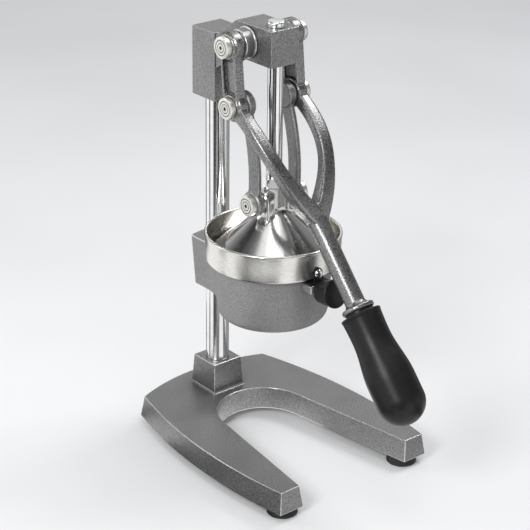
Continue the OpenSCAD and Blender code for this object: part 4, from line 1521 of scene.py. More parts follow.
@dataclass
class JuiceCup:
    """The sheet-metal cup with its strainer, bracket, rivet and knob."""

    shop: Workshop
    sheet: float = 1.2
    ring_height: float = 26.5
    taper: float = 1.1
    bead_r: float = 1.5
    bead_out: float = 0.4
    skirt_r: float = 49.7
    skirt_height: float = 11.0
    funnel_height: float = 18.0
    spout_r: float = 12.2
    spout_below: float = 7.6
    bowl_inset: float = 8.0
    bracket_half: float = 11.0
    bracket_thick: float = 1.4
    shelf_drop: float = 3.7
    tab_half: float = 5.2
    rivet_rise: float = 5.8
    side_gap: float = 0.3
    knob_ahead: float = 5.4
    knob_drop: float = 10.8
    knob_tilt: float = 15.0
    knob_in_r: float = 10.1
    knob_out_r: float = 13.4
    knob_length: float = 21.4
    neck_half: float = 5.4
    shelf_turn: float = 11.3
    shelf_short: float = 2.9
    corner_r: float = 1.6

    def wall_r(self, z: float) -> float:
        """The ring's outer radius at a height."""
        place = self.shop.layout
        return place.ring_r - self.taper * (place.rim_z - z) / self.ring_height

    def cup(self) -> Draft:
        """The cup as one folded sheet with a rolled rim.

        Returns:
            The draft.
        """
        place = self.shop.layout
        rim, shoulder = place.rim_z, place.shoulder_z
        skirt_z = shoulder - self.skirt_height
        throat_z = skirt_z - self.funnel_height
        spout_z = place.bowl_z - self.spout_below
        foot_r, round_r = self.wall_r(shoulder), self.corner_r
        t = self.sheet
        bead_at = (place.ring_r + self.bead_out - self.bead_r, rim - self.bead_r)
        outside = arc(bead_at, self.bead_r, 180, -60, 12)
        outside += [(self.wall_r(rim - 2.6), rim - 2.6), (self.wall_r(shoulder + 2.0), shoulder + 2.0)]
        outside += arc((foot_r - round_r, shoulder + round_r), round_r, 0, -90, 5)
        below = [(self.skirt_r, shoulder), (self.skirt_r, skirt_z), (self.spout_r, throat_z), (self.spout_r, spout_z)]
        inside = [(self.spout_r - t, spout_z), (self.spout_r - t, throat_z + 0.5), (self.skirt_r - t, skirt_z + 0.5)]
        inside += [(self.skirt_r - t, shoulder + t), (foot_r - t - 0.8, shoulder + t)]
        inside += [(self.wall_r(shoulder + 3) - t, shoulder + 3), (self.wall_r(rim - 2.2) - t, rim - 2.2)]
        profile = outside + below + inside
        inner_from = len(outside) + len(below)
        return Draft().lathe(profile, upright(0, 0, 0), 160, slots=lambda k: int(k >= inner_from), closed=True)

    def bracket(self) -> Draft:
        """The bracket: a shelf on the lugs, a tab up the ring's wall and a leg down behind the knob.

        Returns:
            The draft.
        """
        place = self.shop.layout
        shelf_z = place.shoulder_z - self.shelf_drop
        knob_y = place.ring_r + self.knob_ahead
        knob_z = place.shoulder_z - self.knob_drop
        bowl_r = place.ring_r - self.bowl_inset
        half, t = self.bracket_half, self.bracket_thick
        inner = arc((0, 0), bowl_r + self.side_gap, -90 - self.shelf_turn, -90 + self.shelf_turn, 8)
        plan = [*inner, (half, self.shelf_short - knob_y), (-half, self.shelf_short - knob_y)]
        draft = Draft().skin([[(x, y, z) for x, y in plan] for z in (shelf_z, shelf_z + t)])
        rivet_z = place.shoulder_z + self.rivet_rise
        tab_r = self.wall_r(rivet_z + self.tab_half) + self.side_gap
        top = arc((0, rivet_z), self.tab_half, 0, 180, 16)
        outline = [(-self.tab_half, shelf_z + 0.2), (self.tab_half, shelf_z + 0.2), *top]
        draft.skin([[(x, -math.sqrt(r * r - x * x), z) for x, z in outline] for r in (tab_r, tab_r + t)])
        leg_top = (shelf_z + t - knob_z) / math.cos(math.radians(self.knob_tilt))
        low, high = (-self.neck_half, -self.neck_half, -2.5), (self.neck_half, leg_top, -0.5)
        return draft.box(low, high, self.knob_seat())

    def knob_seat(self) -> Matrix:
        """Seat of the knob.

        Returns:
            The matrix.
        """
        place = self.shop.layout
        tilt = math.radians(self.knob_tilt)
        way = Vector((0, -math.cos(tilt), math.sin(tilt)))
        return pointing(Vector((0, -place.ring_r - self.knob_ahead, place.shoulder_z - self.knob_drop)), way)

    def knob(self) -> Draft:
        """The knob: it flares from a soft rim to a crisp one round its slightly domed face.

        Returns:
            The draft.
        """
        edge, start, dome = 1.3, 1.2, 0.9
        end = self.knob_length - dome - edge
        side = list(zip(spread(self.knob_in_r, self.knob_out_r, 12), spread(start, end, 12)))
        rim = arc((self.knob_in_r - start, start), start, -90, -15, 5)
        tip = arc((self.knob_out_r - edge, end), edge, 8, 80, 6)
        face = [((self.knob_out_r - edge) * r, self.knob_length - dome * r * r) for r in (0.85, 0.6, 0.3)]
        return Draft().lathe([(0, 0), *rim, *side, *tip, *face, (0, self.knob_length)], self.knob_seat())

    def build(self) -> None:
        """Makes the cup, its bracket and its knob, and dresses the strainer and the rivet."""
        place = self.shop.layout
        outer = SatinSheet("cup_sheet", place.press_y)
        # The inside is a darker copy of the outer sheet: painted shade inside the cup.
        inner = SatinSheet("cup_inside", place.press_y, (0.66, 0.635, 0.59), 0.27)
        self.shop.piece("juice_cup", self.cup(), (outer, inner), Body.FRAME, Slot.SHEET, ("funnel_cup",), sharp=28)
        black = (Moulded("bracket_black", 0.014, 0.34, 0.6, 0.02),) * 2
        rounding = Rounding(0.35, 2, 40.0)
        bracket = self.bracket()
        self.shop.piece(
            "cup_bracket_arm", bracket, black, Body.FRAME, Slot.BRACKET, ("cup_bracket",), rounding=rounding
        )
        gloss = Moulded("knob_black", 0.014, 0.34, 1.2, 0.01, gloss=0.3)
        self.shop.piece("cup_lift_knob", self.knob(), (gloss,), Body.FRAME, Slot.KNOB, ("cup_knob",), sharp=50)
        self.shop.keep(SatinSheet("strainer_sheet", place.press_y, (0.62, 0.60, 0.56), 0.28), "strainer_cone")
        self.shop.keep(MirrorChrome("rivet_chrome", roughness=0.08), "cup_rivet")


@dataclass
class PinHeads:
    """The turned heads of the two pins on one axis, with the start of their shanks."""

    shop: Workshop
    name: str
    axis: Pair
    seat: float
    body: Body
    radius: float = 10.0
    height: float = 5.5
    grooves: Sequence[Point] = ((6.4, 0.8, 0.8), (3.7, 0.7, 0.7))
    bevel: float = 0.9
    bank: float = 0.15

    def head(self, side: Side) -> Draft:
        """One head: its rim, its grooves from the outside inwards, and the centre mark in its middle.

        Args:
            side: The side that it is on.

        Returns:
            The draft.
        """
        r, h, bank = self.radius, self.height, self.bank
        foot_r, start = r - self.bevel, -0.4
        profile = [(0, start), (foot_r, start), (foot_r, 0.5), (r, 1.1), (r, h - 1.0)]
        profile += [(r - 0.25, h - 0.35), (foot_r, h)]
        rim = len(profile)
        for groove, width, depth in self.grooves:
            profile += [(groove + width, h), (groove + width - bank, h - depth)]
            profile += [(groove + bank, h - depth), (groove, h)]
        mark_r, mark_depth = 1.5, 1.8
        profile += [(mark_r + 0.2, h), (mark_r, h - mark_depth), (0, h - mark_depth - 0.4)]
        # Faces in the grooves and the centre mark take the dark second slot: painted shade.
        sunk = [k for k, (_, z) in enumerate(profile) if k >= rim and z < h]
        dark = {k for at in sunk for k in (at - 1, at)}
        return Draft().lathe(profile, across(self.axis, self.seat, side), slots=lambda k: int(k in dark))

    def build(self) -> None:
        """Makes both heads."""
        turned = TurnedSteel(self.name + "_steel", self.axis[0] + self.shop.layout.press_y, self.axis[1])
        steels = (turned, GROOVE_SHADE)
        for side in Side:
            word = side.name.lower()
            name, node = f"{self.name}_head_{word}", f"{self.name}_{word}"
            self.shop.piece(name, self.head(side), steels, self.body, Slot.PIN, (node,), sharp=30)


@dataclass
class ForkedLever:
    """The forked casting, its grip and the pins that join it to the head and the rods."""

    shop: Workshop
    enamel: Hammertone
    inner: float = 29.3
    eye_width: float = 11.4
    eye_r: float = 13.5
    hub_r: float = 13.7
    crank_width: float = 20.5
    flange: float = 2.8
    recess: float = 3.2
    arm_half: float = 6.6
    arm_depth: float = 5.4
    notch_r: float = 6.5
    notch_floor: float = 15.5
    stem_r: float = 8.7
    crotch_ahead: float = 80.1
    crotch_drop: float = 148.6
    stem_angle: float = 41.3
    stem_length: float = 85.2
    collar_r: float = 15.0
    collar_height: float = 5.0
    squareness: float = 5.0
    stem_squareness: float = 2.4
    grip_length: float = 109.0
    grip_lip_r: float = 18.8
    grip_waist_r: float = 17.6
    grip_belly_r: float = 22.1
    grip_waist_at: float = 25.0
    grip_belly_at: float = 0.62
    grip_throat: float = 2.4
    grip_lip: float = 1.4
    trunnion_seat: float = 41.0
    arm_tail: Point = (1.0, -50.0, -25.5)
    arm_lead: Point = (31.2, 15.2, 38.3)

    @property
    def crotch(self) -> Vector:
        """Where the two arms meet the stem."""
        pivot = self.shop.layout.pivot
        return Vector((0, pivot[0] - self.crotch_ahead, pivot[1] - self.crotch_drop))

    @property
    def stem_way(self) -> Vector:
        """Direction of the stem, away from the crotch."""
        turn = math.radians(self.stem_angle)
        return Vector((0, -math.sin(turn), -math.cos(turn)))

    def along_stem(self, t: float) -> Matrix:
        """Seat on the stem's axis at a distance from the crotch."""
        return pointing(self.crotch + t * self.stem_way, self.stem_way)

    def eye(self, axis: Pair, radius: float, side: Side) -> Draft:
        """An eye or hub of the fork with a step on its outer face.

        Args:
            axis: Its axis in the side plane.
            radius: Its radius.
            side: The side that it is on.

        Returns:
            The draft.
        """
        c, step = 1.0, 2.2
        w = self.eye_width
        profile = [(0, 0), (radius - c, 0), (radius, c), (radius, w - step - c), (radius - c, w - step)]
        profile += [(radius - 1.9, w - step), (radius - 1.9, w - 0.6), (radius - 2.5, w), (0, w)]
        return Draft().lathe(profile, across(axis, self.inner, side), 72)

    def crank(self, side: Side) -> Draft:
        """The crank between the eye and the hub: a web between two flanges.

        Args:
            side: The side that it is on.

        Returns:
            The draft.
        """
        pivot, knee = Vector(self.shop.layout.pivot), Vector(self.shop.layout.knee)
        way = (knee - pivot).normalized()
        turn = pointing(Vector((0, pivot.x, pivot.y)), Vector((0, way.x, way.y)))
        length = (knee - pivot).length
        near, far = self.inner + 0.8, self.inner + self.eye_width - 0.8
        half = self.crank_width / 2
        draft = Draft()

        def bar(x0: float, x1: float, y0: float, y1: float) -> None:
            """One straight bar of the crank."""
            low, high = sorted((side.value * x0, side.value * x1))
            draft.box((low, y0, 0), (high, y1, length), turn)

        bar(near, far, -half, self.flange - half)
        bar(near, far, half - self.flange, half)
        bar(near + self.recess, far - self.recess, -half, half)
        return draft

    def arm(self, side: Side) -> Draft:
        """One curved arm from the knee's hub to the crotch.

        Args:
            side: The side that it is on.

        Returns:
            The draft.
        """
        knee = self.shop.layout.knee
        root = Vector((self.inner + self.eye_width / 2, knee[0], knee[1]))
        path = [root, root + Vector(self.arm_tail), self.crotch + Vector(self.arm_lead), self.crotch]
        rings = []
        for t in spread(0, 1, 40):
            way = bezier_way(path, t)
            flat = (Vector((1, 0, 0)) - way.x * way).normalized()
            lift = way.cross(flat)
            thin = self.thickness(self.eye_width / 2 - 0.5, self.arm_half, t)
            deep = self.thickness(self.arm_depth + 1.8, self.arm_depth, t)
            ring = superellipse(thin, deep, self.squareness, 32)
            rings.append([bezier(path, t) + u * flat + v * lift for u, v in ring])
        flip = Matrix.Diagonal((side.value, 1, 1, 1))
        return Draft().skin([[flip @ p for p in ring] for ring in rings])

    def thickness(self, root: float, waist: float, t: float) -> float:
        """Half-width of an arm at a share of its way, given its half-widths at the knee and at the waist."""
        slim = waist + (root - waist) * ease(max(0.0, 1 - t / 0.3))
        return slim + (self.stem_r - 0.5 - waist) * ease(max(0.0, 2 * t - 1))

    def web(self) -> Draft:
        """The web that rounds the notch between the two arms.

        Returns:
            The draft.
        """
        rise = Vector((0, *self.arm_lead[1:])).normalized()
        lift = Vector((0, -rise.z, rise.y))
        r, floor, half = self.notch_r, self.notch_floor, self.stem_r - 1.2
        outline = arc((0, floor + r), r, 180, 360, 16) + [(r + 4, floor + r), (5, 0), (-5, 0), (-r - 4, floor + r)]
        plan = [self.crotch + Vector((u, 0, 0)) + v * rise for u, v in outline]
        return Draft().skin([[p + w * lift for p in plan] for w in (-half, half)])

    def stem(self) -> Draft:
        """The stem, a rounded square bar that thickens into the crotch.

        Returns:
            The draft.
        """
        sunk, root_length, root_swell = 4.0, 26.0, 1.1
        rings = []
        for t in spread(-sunk, self.stem_length - sunk, 12):
            grown = root_swell * (1 - ease((t + sunk) / root_length))
            seat = self.along_stem(t)
            ring = superellipse(self.stem_r + grown, self.stem_r + 0.2, self.stem_squareness, 32)
            rings.append([seat @ Vector((u, v, 0)) for u, v in ring])
        return Draft().skin(rings)

    def casting(self) -> Draft:
        """All forms of the fork.

        Returns:
            The draft.
        """
        layout = self.shop.layout
        draft = self.stem().taken(self.web())
        for side in Side:
            draft.taken(self.eye(layout.pivot, self.eye_r, side))
            draft.taken(self.eye(layout.knee, self.hub_r, side))
            draft.taken(self.crank(side))
            draft.taken(self.arm(side))
        r, h, c = self.collar_r, self.collar_height, 1.2
        throat = [(0, -9), (self.stem_r + 0.2, -9), (self.stem_r + 0.6, -3), (self.stem_r + 2.4, 0)]
        rim = [(r - c, 0), (r, c), (r, h - c), (r - c, h), (0, h)]
        draft.lathe(throat + rim, self.along_stem(self.stem_length), 72)
        return draft

    def grip_radius(self, t: float) -> float:
        """The grip's radius at a distance from its mouth: a lip, a waist and a long belly.

        Args:
            t: The distance.

        Returns:
            The radius.
        """
        waist, belly = self.grip_waist_at, self.grip_length * self.grip_belly_at
        if t < waist:
            return self.grip_waist_r + (self.grip_lip_r - self.grip_waist_r) * (1 - t / waist) ** 2
        return self.grip_waist_r + (self.grip_belly_r - self.grip_waist_r) * ease((t - waist) / (belly - waist))

    def grip(self) -> Draft:
        """The moulded grip with its neck ring, rolled mouth and round end.

        Returns:
            The draft.
        """
        neck_r, neck_h, lip = self.collar_r - 2, self.grip_throat, self.grip_lip
        ball_at = self.grip_length - self.grip_belly_r
        profile = [(0, 0), (neck_r, 0), (neck_r, neck_h), (self.grip_lip_r - 1.6, neck_h)]
        profile += arc((self.grip_lip_r - lip, neck_h + lip), lip, -80, 0, 6)
        profile += [(self.grip_radius(t), t) for t in spread(neck_h + 2 * lip, ball_at, 40)]
        profile += arc((0, ball_at), self.grip_belly_r, 3, 87, 20)
        profile += [(0, ball_at + self.grip_belly_r)]
        return Draft().lathe(profile, self.along_stem(self.stem_length + self.collar_height))

    def build(self) -> None:
        """Makes the lever, its grip and its pins."""
        layout = self.shop.layout
        casting = self.casting()
        self.shop.piece(
            "lever_casting", casting, (self.enamel,), Body.LEVER, Slot.CASTING, ("lever",), fusing=Fusing(0.62)
        )
        black = Moulded("grip_black", 0.012, 0.36, 0.7, 0.02, gloss=0.3)
        self.shop.piece("lever_grip", self.grip(), (black,), Body.LEVER, Slot.GRIP, ("grip",), sharp=36)
        PinHeads(self.shop, "trunnion_pin", layout.pivot, self.trunnion_seat, Body.FRAME).build()
        PinHeads(self.shop, "knee_pin", layout.knee, self.inner + self.eye_width, Body.LEVER).build()
        # The pivot washers are darkened: painted shade in the gaps between the pivoting parts.
        self.shop.keep(PIVOT_WASHER_SHADE, "trunnion_washers", "knee_washer_left", "knee_washer_right")


@dataclass
class ConnectingRods:
    """The two curved rods between the knee and the plunger."""

    shop: Workshop
    enamel: Hammertone
    outer: float = 27.6
    width: float = 14.4
    thickness: float = 5.4
    bow: float = 6.5
    eye_r: float = 12.3
    upper_eye: float = 8.6
    lower_eye: float = 6.6
    side_gap: float = 0.3
    bar_inset: float = 1.5
    squareness: float = 5.0

    def bar(self, side: Side) -> Draft:
        """The curved bar, swept along an arc between the two eyes.

        Args:
            side: The side that it is on.

        Returns:
            The draft.
        """
        layout = self.shop.layout
        low, high = Vector(layout.crosshead), Vector(layout.knee)
        path = bowed(tuple(high), tuple(low), self.bow, 30)
        middle = self.outer - self.bar_inset - self.thickness / 2
        ring = superellipse(self.thickness / 2, self.width / 2, self.squareness, 28)
        rings = []
        for back, point, ahead in zip([path[0], *path], path, [*path[1:], path[-1]]):
            way = (Vector(ahead) - Vector(back)).normalized()
            out = Vector((way.y, -way.x))
            rings.append([(side.value * (middle + u), point[0] + v * out.x, point[1] + v * out.y) for u, v in ring])
        return Draft().skin(rings)

    def build(self) -> None:
        """Makes both rods."""
        layout = self.shop.layout
        for side, body in ((Side.LEFT, Body.LINK_LEFT), (Side.RIGHT, Body.LINK_RIGHT)):
            draft = self.bar(side)
            for axis, end, width in (
                (layout.knee, self.outer, self.upper_eye),
                (layout.crosshead, self.outer - self.side_gap, self.lower_eye),
            ):
                r, c = self.eye_r, 1.3
                profile = [(0, 0), (r - c, 0), (r, c), (r, width - c), (r - c, width), (0, width)]
                draft.lathe(profile, across(axis, end - width, side), 72)
            name, node = f"{body.value}_casting", body.value
            self.shop.piece(name, draft, (self.enamel,), body, Slot.CASTING, (node,), fusing=Fusing(0.6))


@dataclass
class Plunger:
    """The rod, the press cone with its crosshead, the lock nut and the crosshead's pins."""

    shop: Workshop
    cone_top_r: float = 16.0
    cone_height: float = 37.0
    block_half: float = 16.5
    block_deep: float = 11.0
    block_squareness: float = 14.0
    post_r: float = 11.4
    post_sides: int = 8
    post_corner: float = -112.0
    ear_in: float = 7.6
    ear_slope: float = 0.8
    nut_r: float = 12.7
    nut_sides: int = 6
    nut_corner: float = -104.5
    nut_face_r: float = 11.6
    nut_chamfer: float = 0.7
    fillet: float = 3.4
    rim_lip: float = 2.0
    wall: float = 4.6
    roof: float = 6.0
    rib_count: int = 8
    boss_r: float = 9.0
    boss_root: float = 14.0
    boss_length: float = 5.0
    pin_seat: float = 27.6
    thread_pitch: float = 1.25
    thread_length: float = 11.0
    thread_crest: float = 0.42

    def cone_radius(self, z: float) -> float:
        """The cone's radius at a height."""
        rim_r, rim_z = self.shop.layout.cone_rim_r, self.shop.layout.cone_rim_z
        return rim_r - (z - rim_z) * (rim_r - self.cone_top_r) / self.cone_height

    def post(self, turn: float) -> float:
        """Distance from the axis to the eight-sided post's surface in one direction."""
        return flat_sided(turn, self.post_r, self.post_sides, self.post_corner)

    def reach(self, turn: float, z: float) -> float:
        """Distance from the axis to the polished surface in one direction at one height.

        Args:
            turn: The direction in radians.
            z: The height.

        Returns:
            The distance.
        """
        cross_z = self.shop.layout.crosshead[1]
        above = max(0.0, z - cross_z)
        deep = math.sqrt(max(self.block_deep**2 - above**2, 0.01))
        c, s = abs(math.cos(turn)), abs(math.sin(turn))
        power = self.block_squareness
        block = ((c / self.block_half) ** power + (s / deep) ** power) ** (-1 / power)
        post = self.post(turn)
        ear = min(max((self.block_deep * c / max(s, 1e-6) - self.ear_in) / self.ear_slope, 0.0), 1.0)
        block = post + (block - post) * ear
        block = max(block, post) if above > 0 else block
        block = smooth_max(block, post, 0.3)
        return smooth_max(block, self.cone_radius(z), self.fillet)

    def hollow(self) -> tuple[float, float, float]:
        """Sizes of the hollow under the cone.

        Returns:
            Its radius at the rim, and the radius and the height of its roof.
        """
        rim_r, rim_z = self.shop.layout.cone_rim_r, self.shop.layout.cone_rim_z
        slope = self.cone_height / (rim_r - self.cone_top_r)
        inner_r = rim_r - self.wall / math.sin(math.atan(slope))
        roof_z = rim_z + self.cone_height - self.roof
        return inner_r, inner_r - (roof_z - rim_z) / slope, roof_z

    def cone(self) -> Draft:
        """The polished cone and crosshead, with the hollow under the cone.

        Returns:
            The draft.
        """
        layout = self.shop.layout
        rim_r, rim_z = layout.cone_rim_r, layout.cone_rim_z
        cone_top = rim_z + self.cone_height
        inner_r, roof_r, roof_z = self.hollow()
        turns = turns_from(self.post_corner, 23 * self.post_sides)
        bore = layout.rod_r - 0.2
        lip = rim_z - self.rim_lip
        below = [(0.4, roof_z), (roof_r - 2, roof_z), (roof_r, roof_z - 1), (inner_r, rim_z), (inner_r, lip)]
        below += [(rim_r - 0.9, lip), (rim_r - 0.2, lip + 0.4), (rim_r, lip + 0.9), (rim_r, rim_z - 0.3)]
        fillet_from, fillet_to = cone_top - 10.75, cone_top + 4.25
        heights = spread(rim_z + 0.3, fillet_from - 0.95, 10)
        heights += spread(fillet_from, fillet_to, 20)
        heights += spread(fillet_to + 1.25, layout.nut_z - 1.0, 24)
        rings = [level_ring(turns, lambda a, r=r: r, z) for r, z in below]
        rings += [level_ring(turns, lambda a, z=z: self.reach(a, z), z) for z in heights]
        for trim, drop in ((0.2, 0.4), (0.8, 0.0)):
            rings.append(level_ring(turns, lambda a, trim=trim: self.post(a) - trim, layout.nut_z - drop))
        rings.append(level_ring(turns, lambda a: bore, layout.nut_z))
        return Draft().skin(rings)

    def nut(self) -> Draft:
        """The lock nut, its corners chamfered above and below.

        Returns:
            The draft.
        """
        layout = self.shop.layout
        low, high = layout.nut_z, layout.nut_top
        turns = turns_from(self.nut_corner, 96)

        def side(turn: float, limit: float) -> float:
            """Distance from the axis to the nut's surface where nothing stands out beyond a limit."""
            return min(flat_sided(turn, self.nut_r, self.nut_sides, self.nut_corner), limit)

        levels = [(low, self.nut_face_r), (low + self.nut_chamfer, self.nut_r), (high - self.nut_chamfer, self.nut_r)]
        levels += [(high, self.nut_face_r), (high, layout.rod_r - 0.2)]
        return Draft().skin([level_ring(turns, lambda a, limit=limit: side(a, limit), z) for z, limit in levels])

    def ribs(self) -> bpy.types.Object:
        """The ribs under the cone, set round the axis by Geometry Nodes.

        Returns:
            The piece, which rides on nothing yet.
        """
        layout = self.shop.layout
        inner_r, roof_r, roof_z = self.hollow()
        rim_z, sunk = layout.cone_rim_z, 1.0
        rib = Draft()
        outline = [(inner_r + sunk, rim_z), (roof_r + sunk, roof_z + sunk)]
        outline += [(roof_r - 1.6, roof_z + sunk), (inner_r - 3.2, rim_z)]
        rib.skin([[(x, w, z) for x, z in outline] for w in (-1.0, 1.0)])
        bmesh.ops.scale(rib.mesh, vec=(MM, MM, MM), verts=rib.mesh.verts)
        bmesh.ops.recalc_face_normals(rib.mesh, faces=rib.mesh.faces)
        start = bpy.data.meshes.new("press_cone_ribs")
        rib.mesh.to_mesh(start)
        tree = GeometryTree("ribs_round_an_axis")
        _, shape = tree.entrance("Rib", "NodeSocketGeometry")
        count = tree.size("Count", self.rib_count, "NodeSocketInt")
        axis_y = tree.size("Axis Y", layout.press_y * MM)
        index = tree.add("GeometryNodeInputIndex")[0]
        step = tree.math("DIVIDE", 2 * math.pi, count)
        turn = tree.math("MULTIPLY", tree.math("ADD", index, 0.5), step)
        points = tree.add("GeometryNodePoints", None, {"Count": count, "Position": tree.vector(Y=axis_y)})[0]
        sockets = {"Points": points, "Instance": shape, "Rotation": tree.vector(Z=turn)}
        placed = tree.add("GeometryNodeInstanceOnPoints", None, sockets)[0]
        tree.finish(placed, self.shop.material(self.polish))
        return tree.mesh("press_cone_ribs", start)

    @property
    def polish(self) -> Polished:
        """Finish of the cone and its crosshead."""
        return Polished("press_cone_polish", satin_above=self.shop.layout.cone_rim_z + self.cone_height)

    def thread(self) -> bpy.types.Object:
        """The thread's crests above the nut, stacked on the rod by Geometry Nodes.

        Returns:
            The piece, which rides on nothing yet.
        """
        layout = self.shop.layout
        tree = GeometryTree("crests_on_a_rod")
        count = tree.size("Count", round(self.thread_length / self.thread_pitch), "NodeSocketInt")
        pitch = tree.size("Pitch", self.thread_pitch * MM)
        radius = tree.size("Radius", (layout.rod_r + 0.02) * MM)
        crest = tree.size("Crest", self.thread_crest * MM)
        axis_y = tree.size("Axis Y", layout.press_y * MM)
        start = tree.size("Start", (layout.nut_top + 0.4) * MM)
        sockets = {"Count": count, "Start Location": tree.vector(Y=axis_y, Z=start), "Offset": tree.vector(Z=pitch)}
        line = tree.add("GeometryNodeMeshLine", {"mode": "OFFSET"}, sockets)[0]
        circle = tree.add("GeometryNodeCurvePrimitiveCircle", None, {"Resolution": 64, "Radius": radius})[0]
        wire = tree.add("GeometryNodeCurvePrimitiveCircle", None, {"Resolution": 8, "Radius": crest})[0]
        ring = tree.add("GeometryNodeCurveToMesh", None, {"Curve": circle, "Profile Curve": wire})[0]
        placed = tree.add("GeometryNodeInstanceOnPoints", None, {"Points": line, "Instance": ring})[0]
        tree.finish(placed, self.shop.material(MirrorChrome("thread_chrome", roughness=0.1)))
        return tree.mesh("rod_thread")

    def build(self) -> None:
        """Makes the press cone, its ribs, the thread and the pins, and dresses the rest."""
        layout = self.shop.layout
        cone = self.cone()
        r, h = self.boss_r, self.boss_length
        for side in Side:
            boss = [(0, 0), (r, 0), (r, h - 0.4), (r - 0.6, h), (0, h)]
            cone.lathe(boss, across(layout.crosshead, self.boss_root, side), 64)
        name, polish = "press_cone_polished", (self.polish,)
        self.shop.piece(name, cone, polish, Body.PLUNGER, Slot.POLISHED, ("press_cone",), sharp=50)
        for made in (self.ribs(), self.thread()):
            self.shop.ride(made, Body.PLUNGER, Slot.POLISHED, ())
        PinHeads(self.shop, "crosshead_pin", layout.crosshead, self.pin_seat, Body.PLUNGER).build()
        self.shop.keep(MirrorChrome("rod_chrome", roughness=0.13, ground=1.0), "plunger_rod")
        self.shop.keep(MirrorChrome("button_chrome", roughness=0.24), "rod_cap")
        chrome = MirrorChrome("nut_chrome", roughness=0.2)
        self.shop.piece("jam_nut_turned", self.nut(), (chrome,), Body.PLUNGER, Slot.POLISHED, ("jam_nut",), sharp=30)
        self.shop.keep(PlainSteel("crosshead_washer_steel"), "crosshead_washers")


# Studio and camera


@dataclass(frozen=True)
class View:
    """Where the photograph was taken from, as solved from the press's round and square forms."""

    azimuth: float = -39.7514
    elevation: float = 23.7418
    roll: float = 0.704395
    place: Point = (-982.294, -1170.315, 869.0)
    focal_px: float = 1800.148
    centre_px: Pair = (265.682, 254.638)
    frame_px: float = 530.0
    sensor_mm: float = 36.0

    def build(self, press_y: float) -> None:
        """Makes the camera.

        Args:
            press_y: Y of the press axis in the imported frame, in millimetres.
        """
        a, e, roll = (math.radians(v) for v in (self.azimuth, self.elevation, self.roll))
        back = Vector((math.sin(a) * math.cos(e), -math.cos(a) * math.cos(e), math.sin(e)))
        level = Vector((math.cos(a), math.sin(a), 0))
        rise = level.cross(-back)
        right = math.cos(roll) * level + math.sin(roll) * rise
        up = -math.sin(roll) * level + math.cos(roll) * rise
        data = bpy.data.cameras.new("photo_camera")
        data.sensor_width = self.sensor_mm
        data.lens = self.focal_px * self.sensor_mm / self.frame_px
        half = self.frame_px / 2
        data.shift_x = (half - self.centre_px[0]) / self.frame_px
        data.shift_y = (self.centre_px[1] - half) / self.frame_px
        data.clip_start, data.clip_end = 0.05, 50
        camera = linked("photo_camera", data)
        turn = Matrix((right, up, back)).transposed().to_4x4()
        camera.matrix_world = Matrix.Translation((Vector(self.place) + Vector((0, press_y, 0))) * MM) @ turn
        bpy.context.scene.camera = camera


@dataclass(frozen=True)
class Band:
    """A strip of the studio's surroundings, as reflections see it."""

    start: float
    end: float
    light: float


@dataclass(frozen=True)
class Card:
    """A small card on the floor that a flat side of the crosshead mirrors, placed from the press axis."""

    ahead: Pair
    aside: Pair
    light: float


@dataclass(frozen=True)
class Lamp:
    """A square soft light that hangs in a direction from the press, in degrees, metres and watts."""

    name: str
    turn: float
    rise: float
    distance: float
    size: float
    power: float


def within(value: Signal, low: float, high: float) -> Signal:
    """Smooth share of the way between two lengths in millimetres, from 0 to 1."""
    return value.between(low * MM, high * MM)


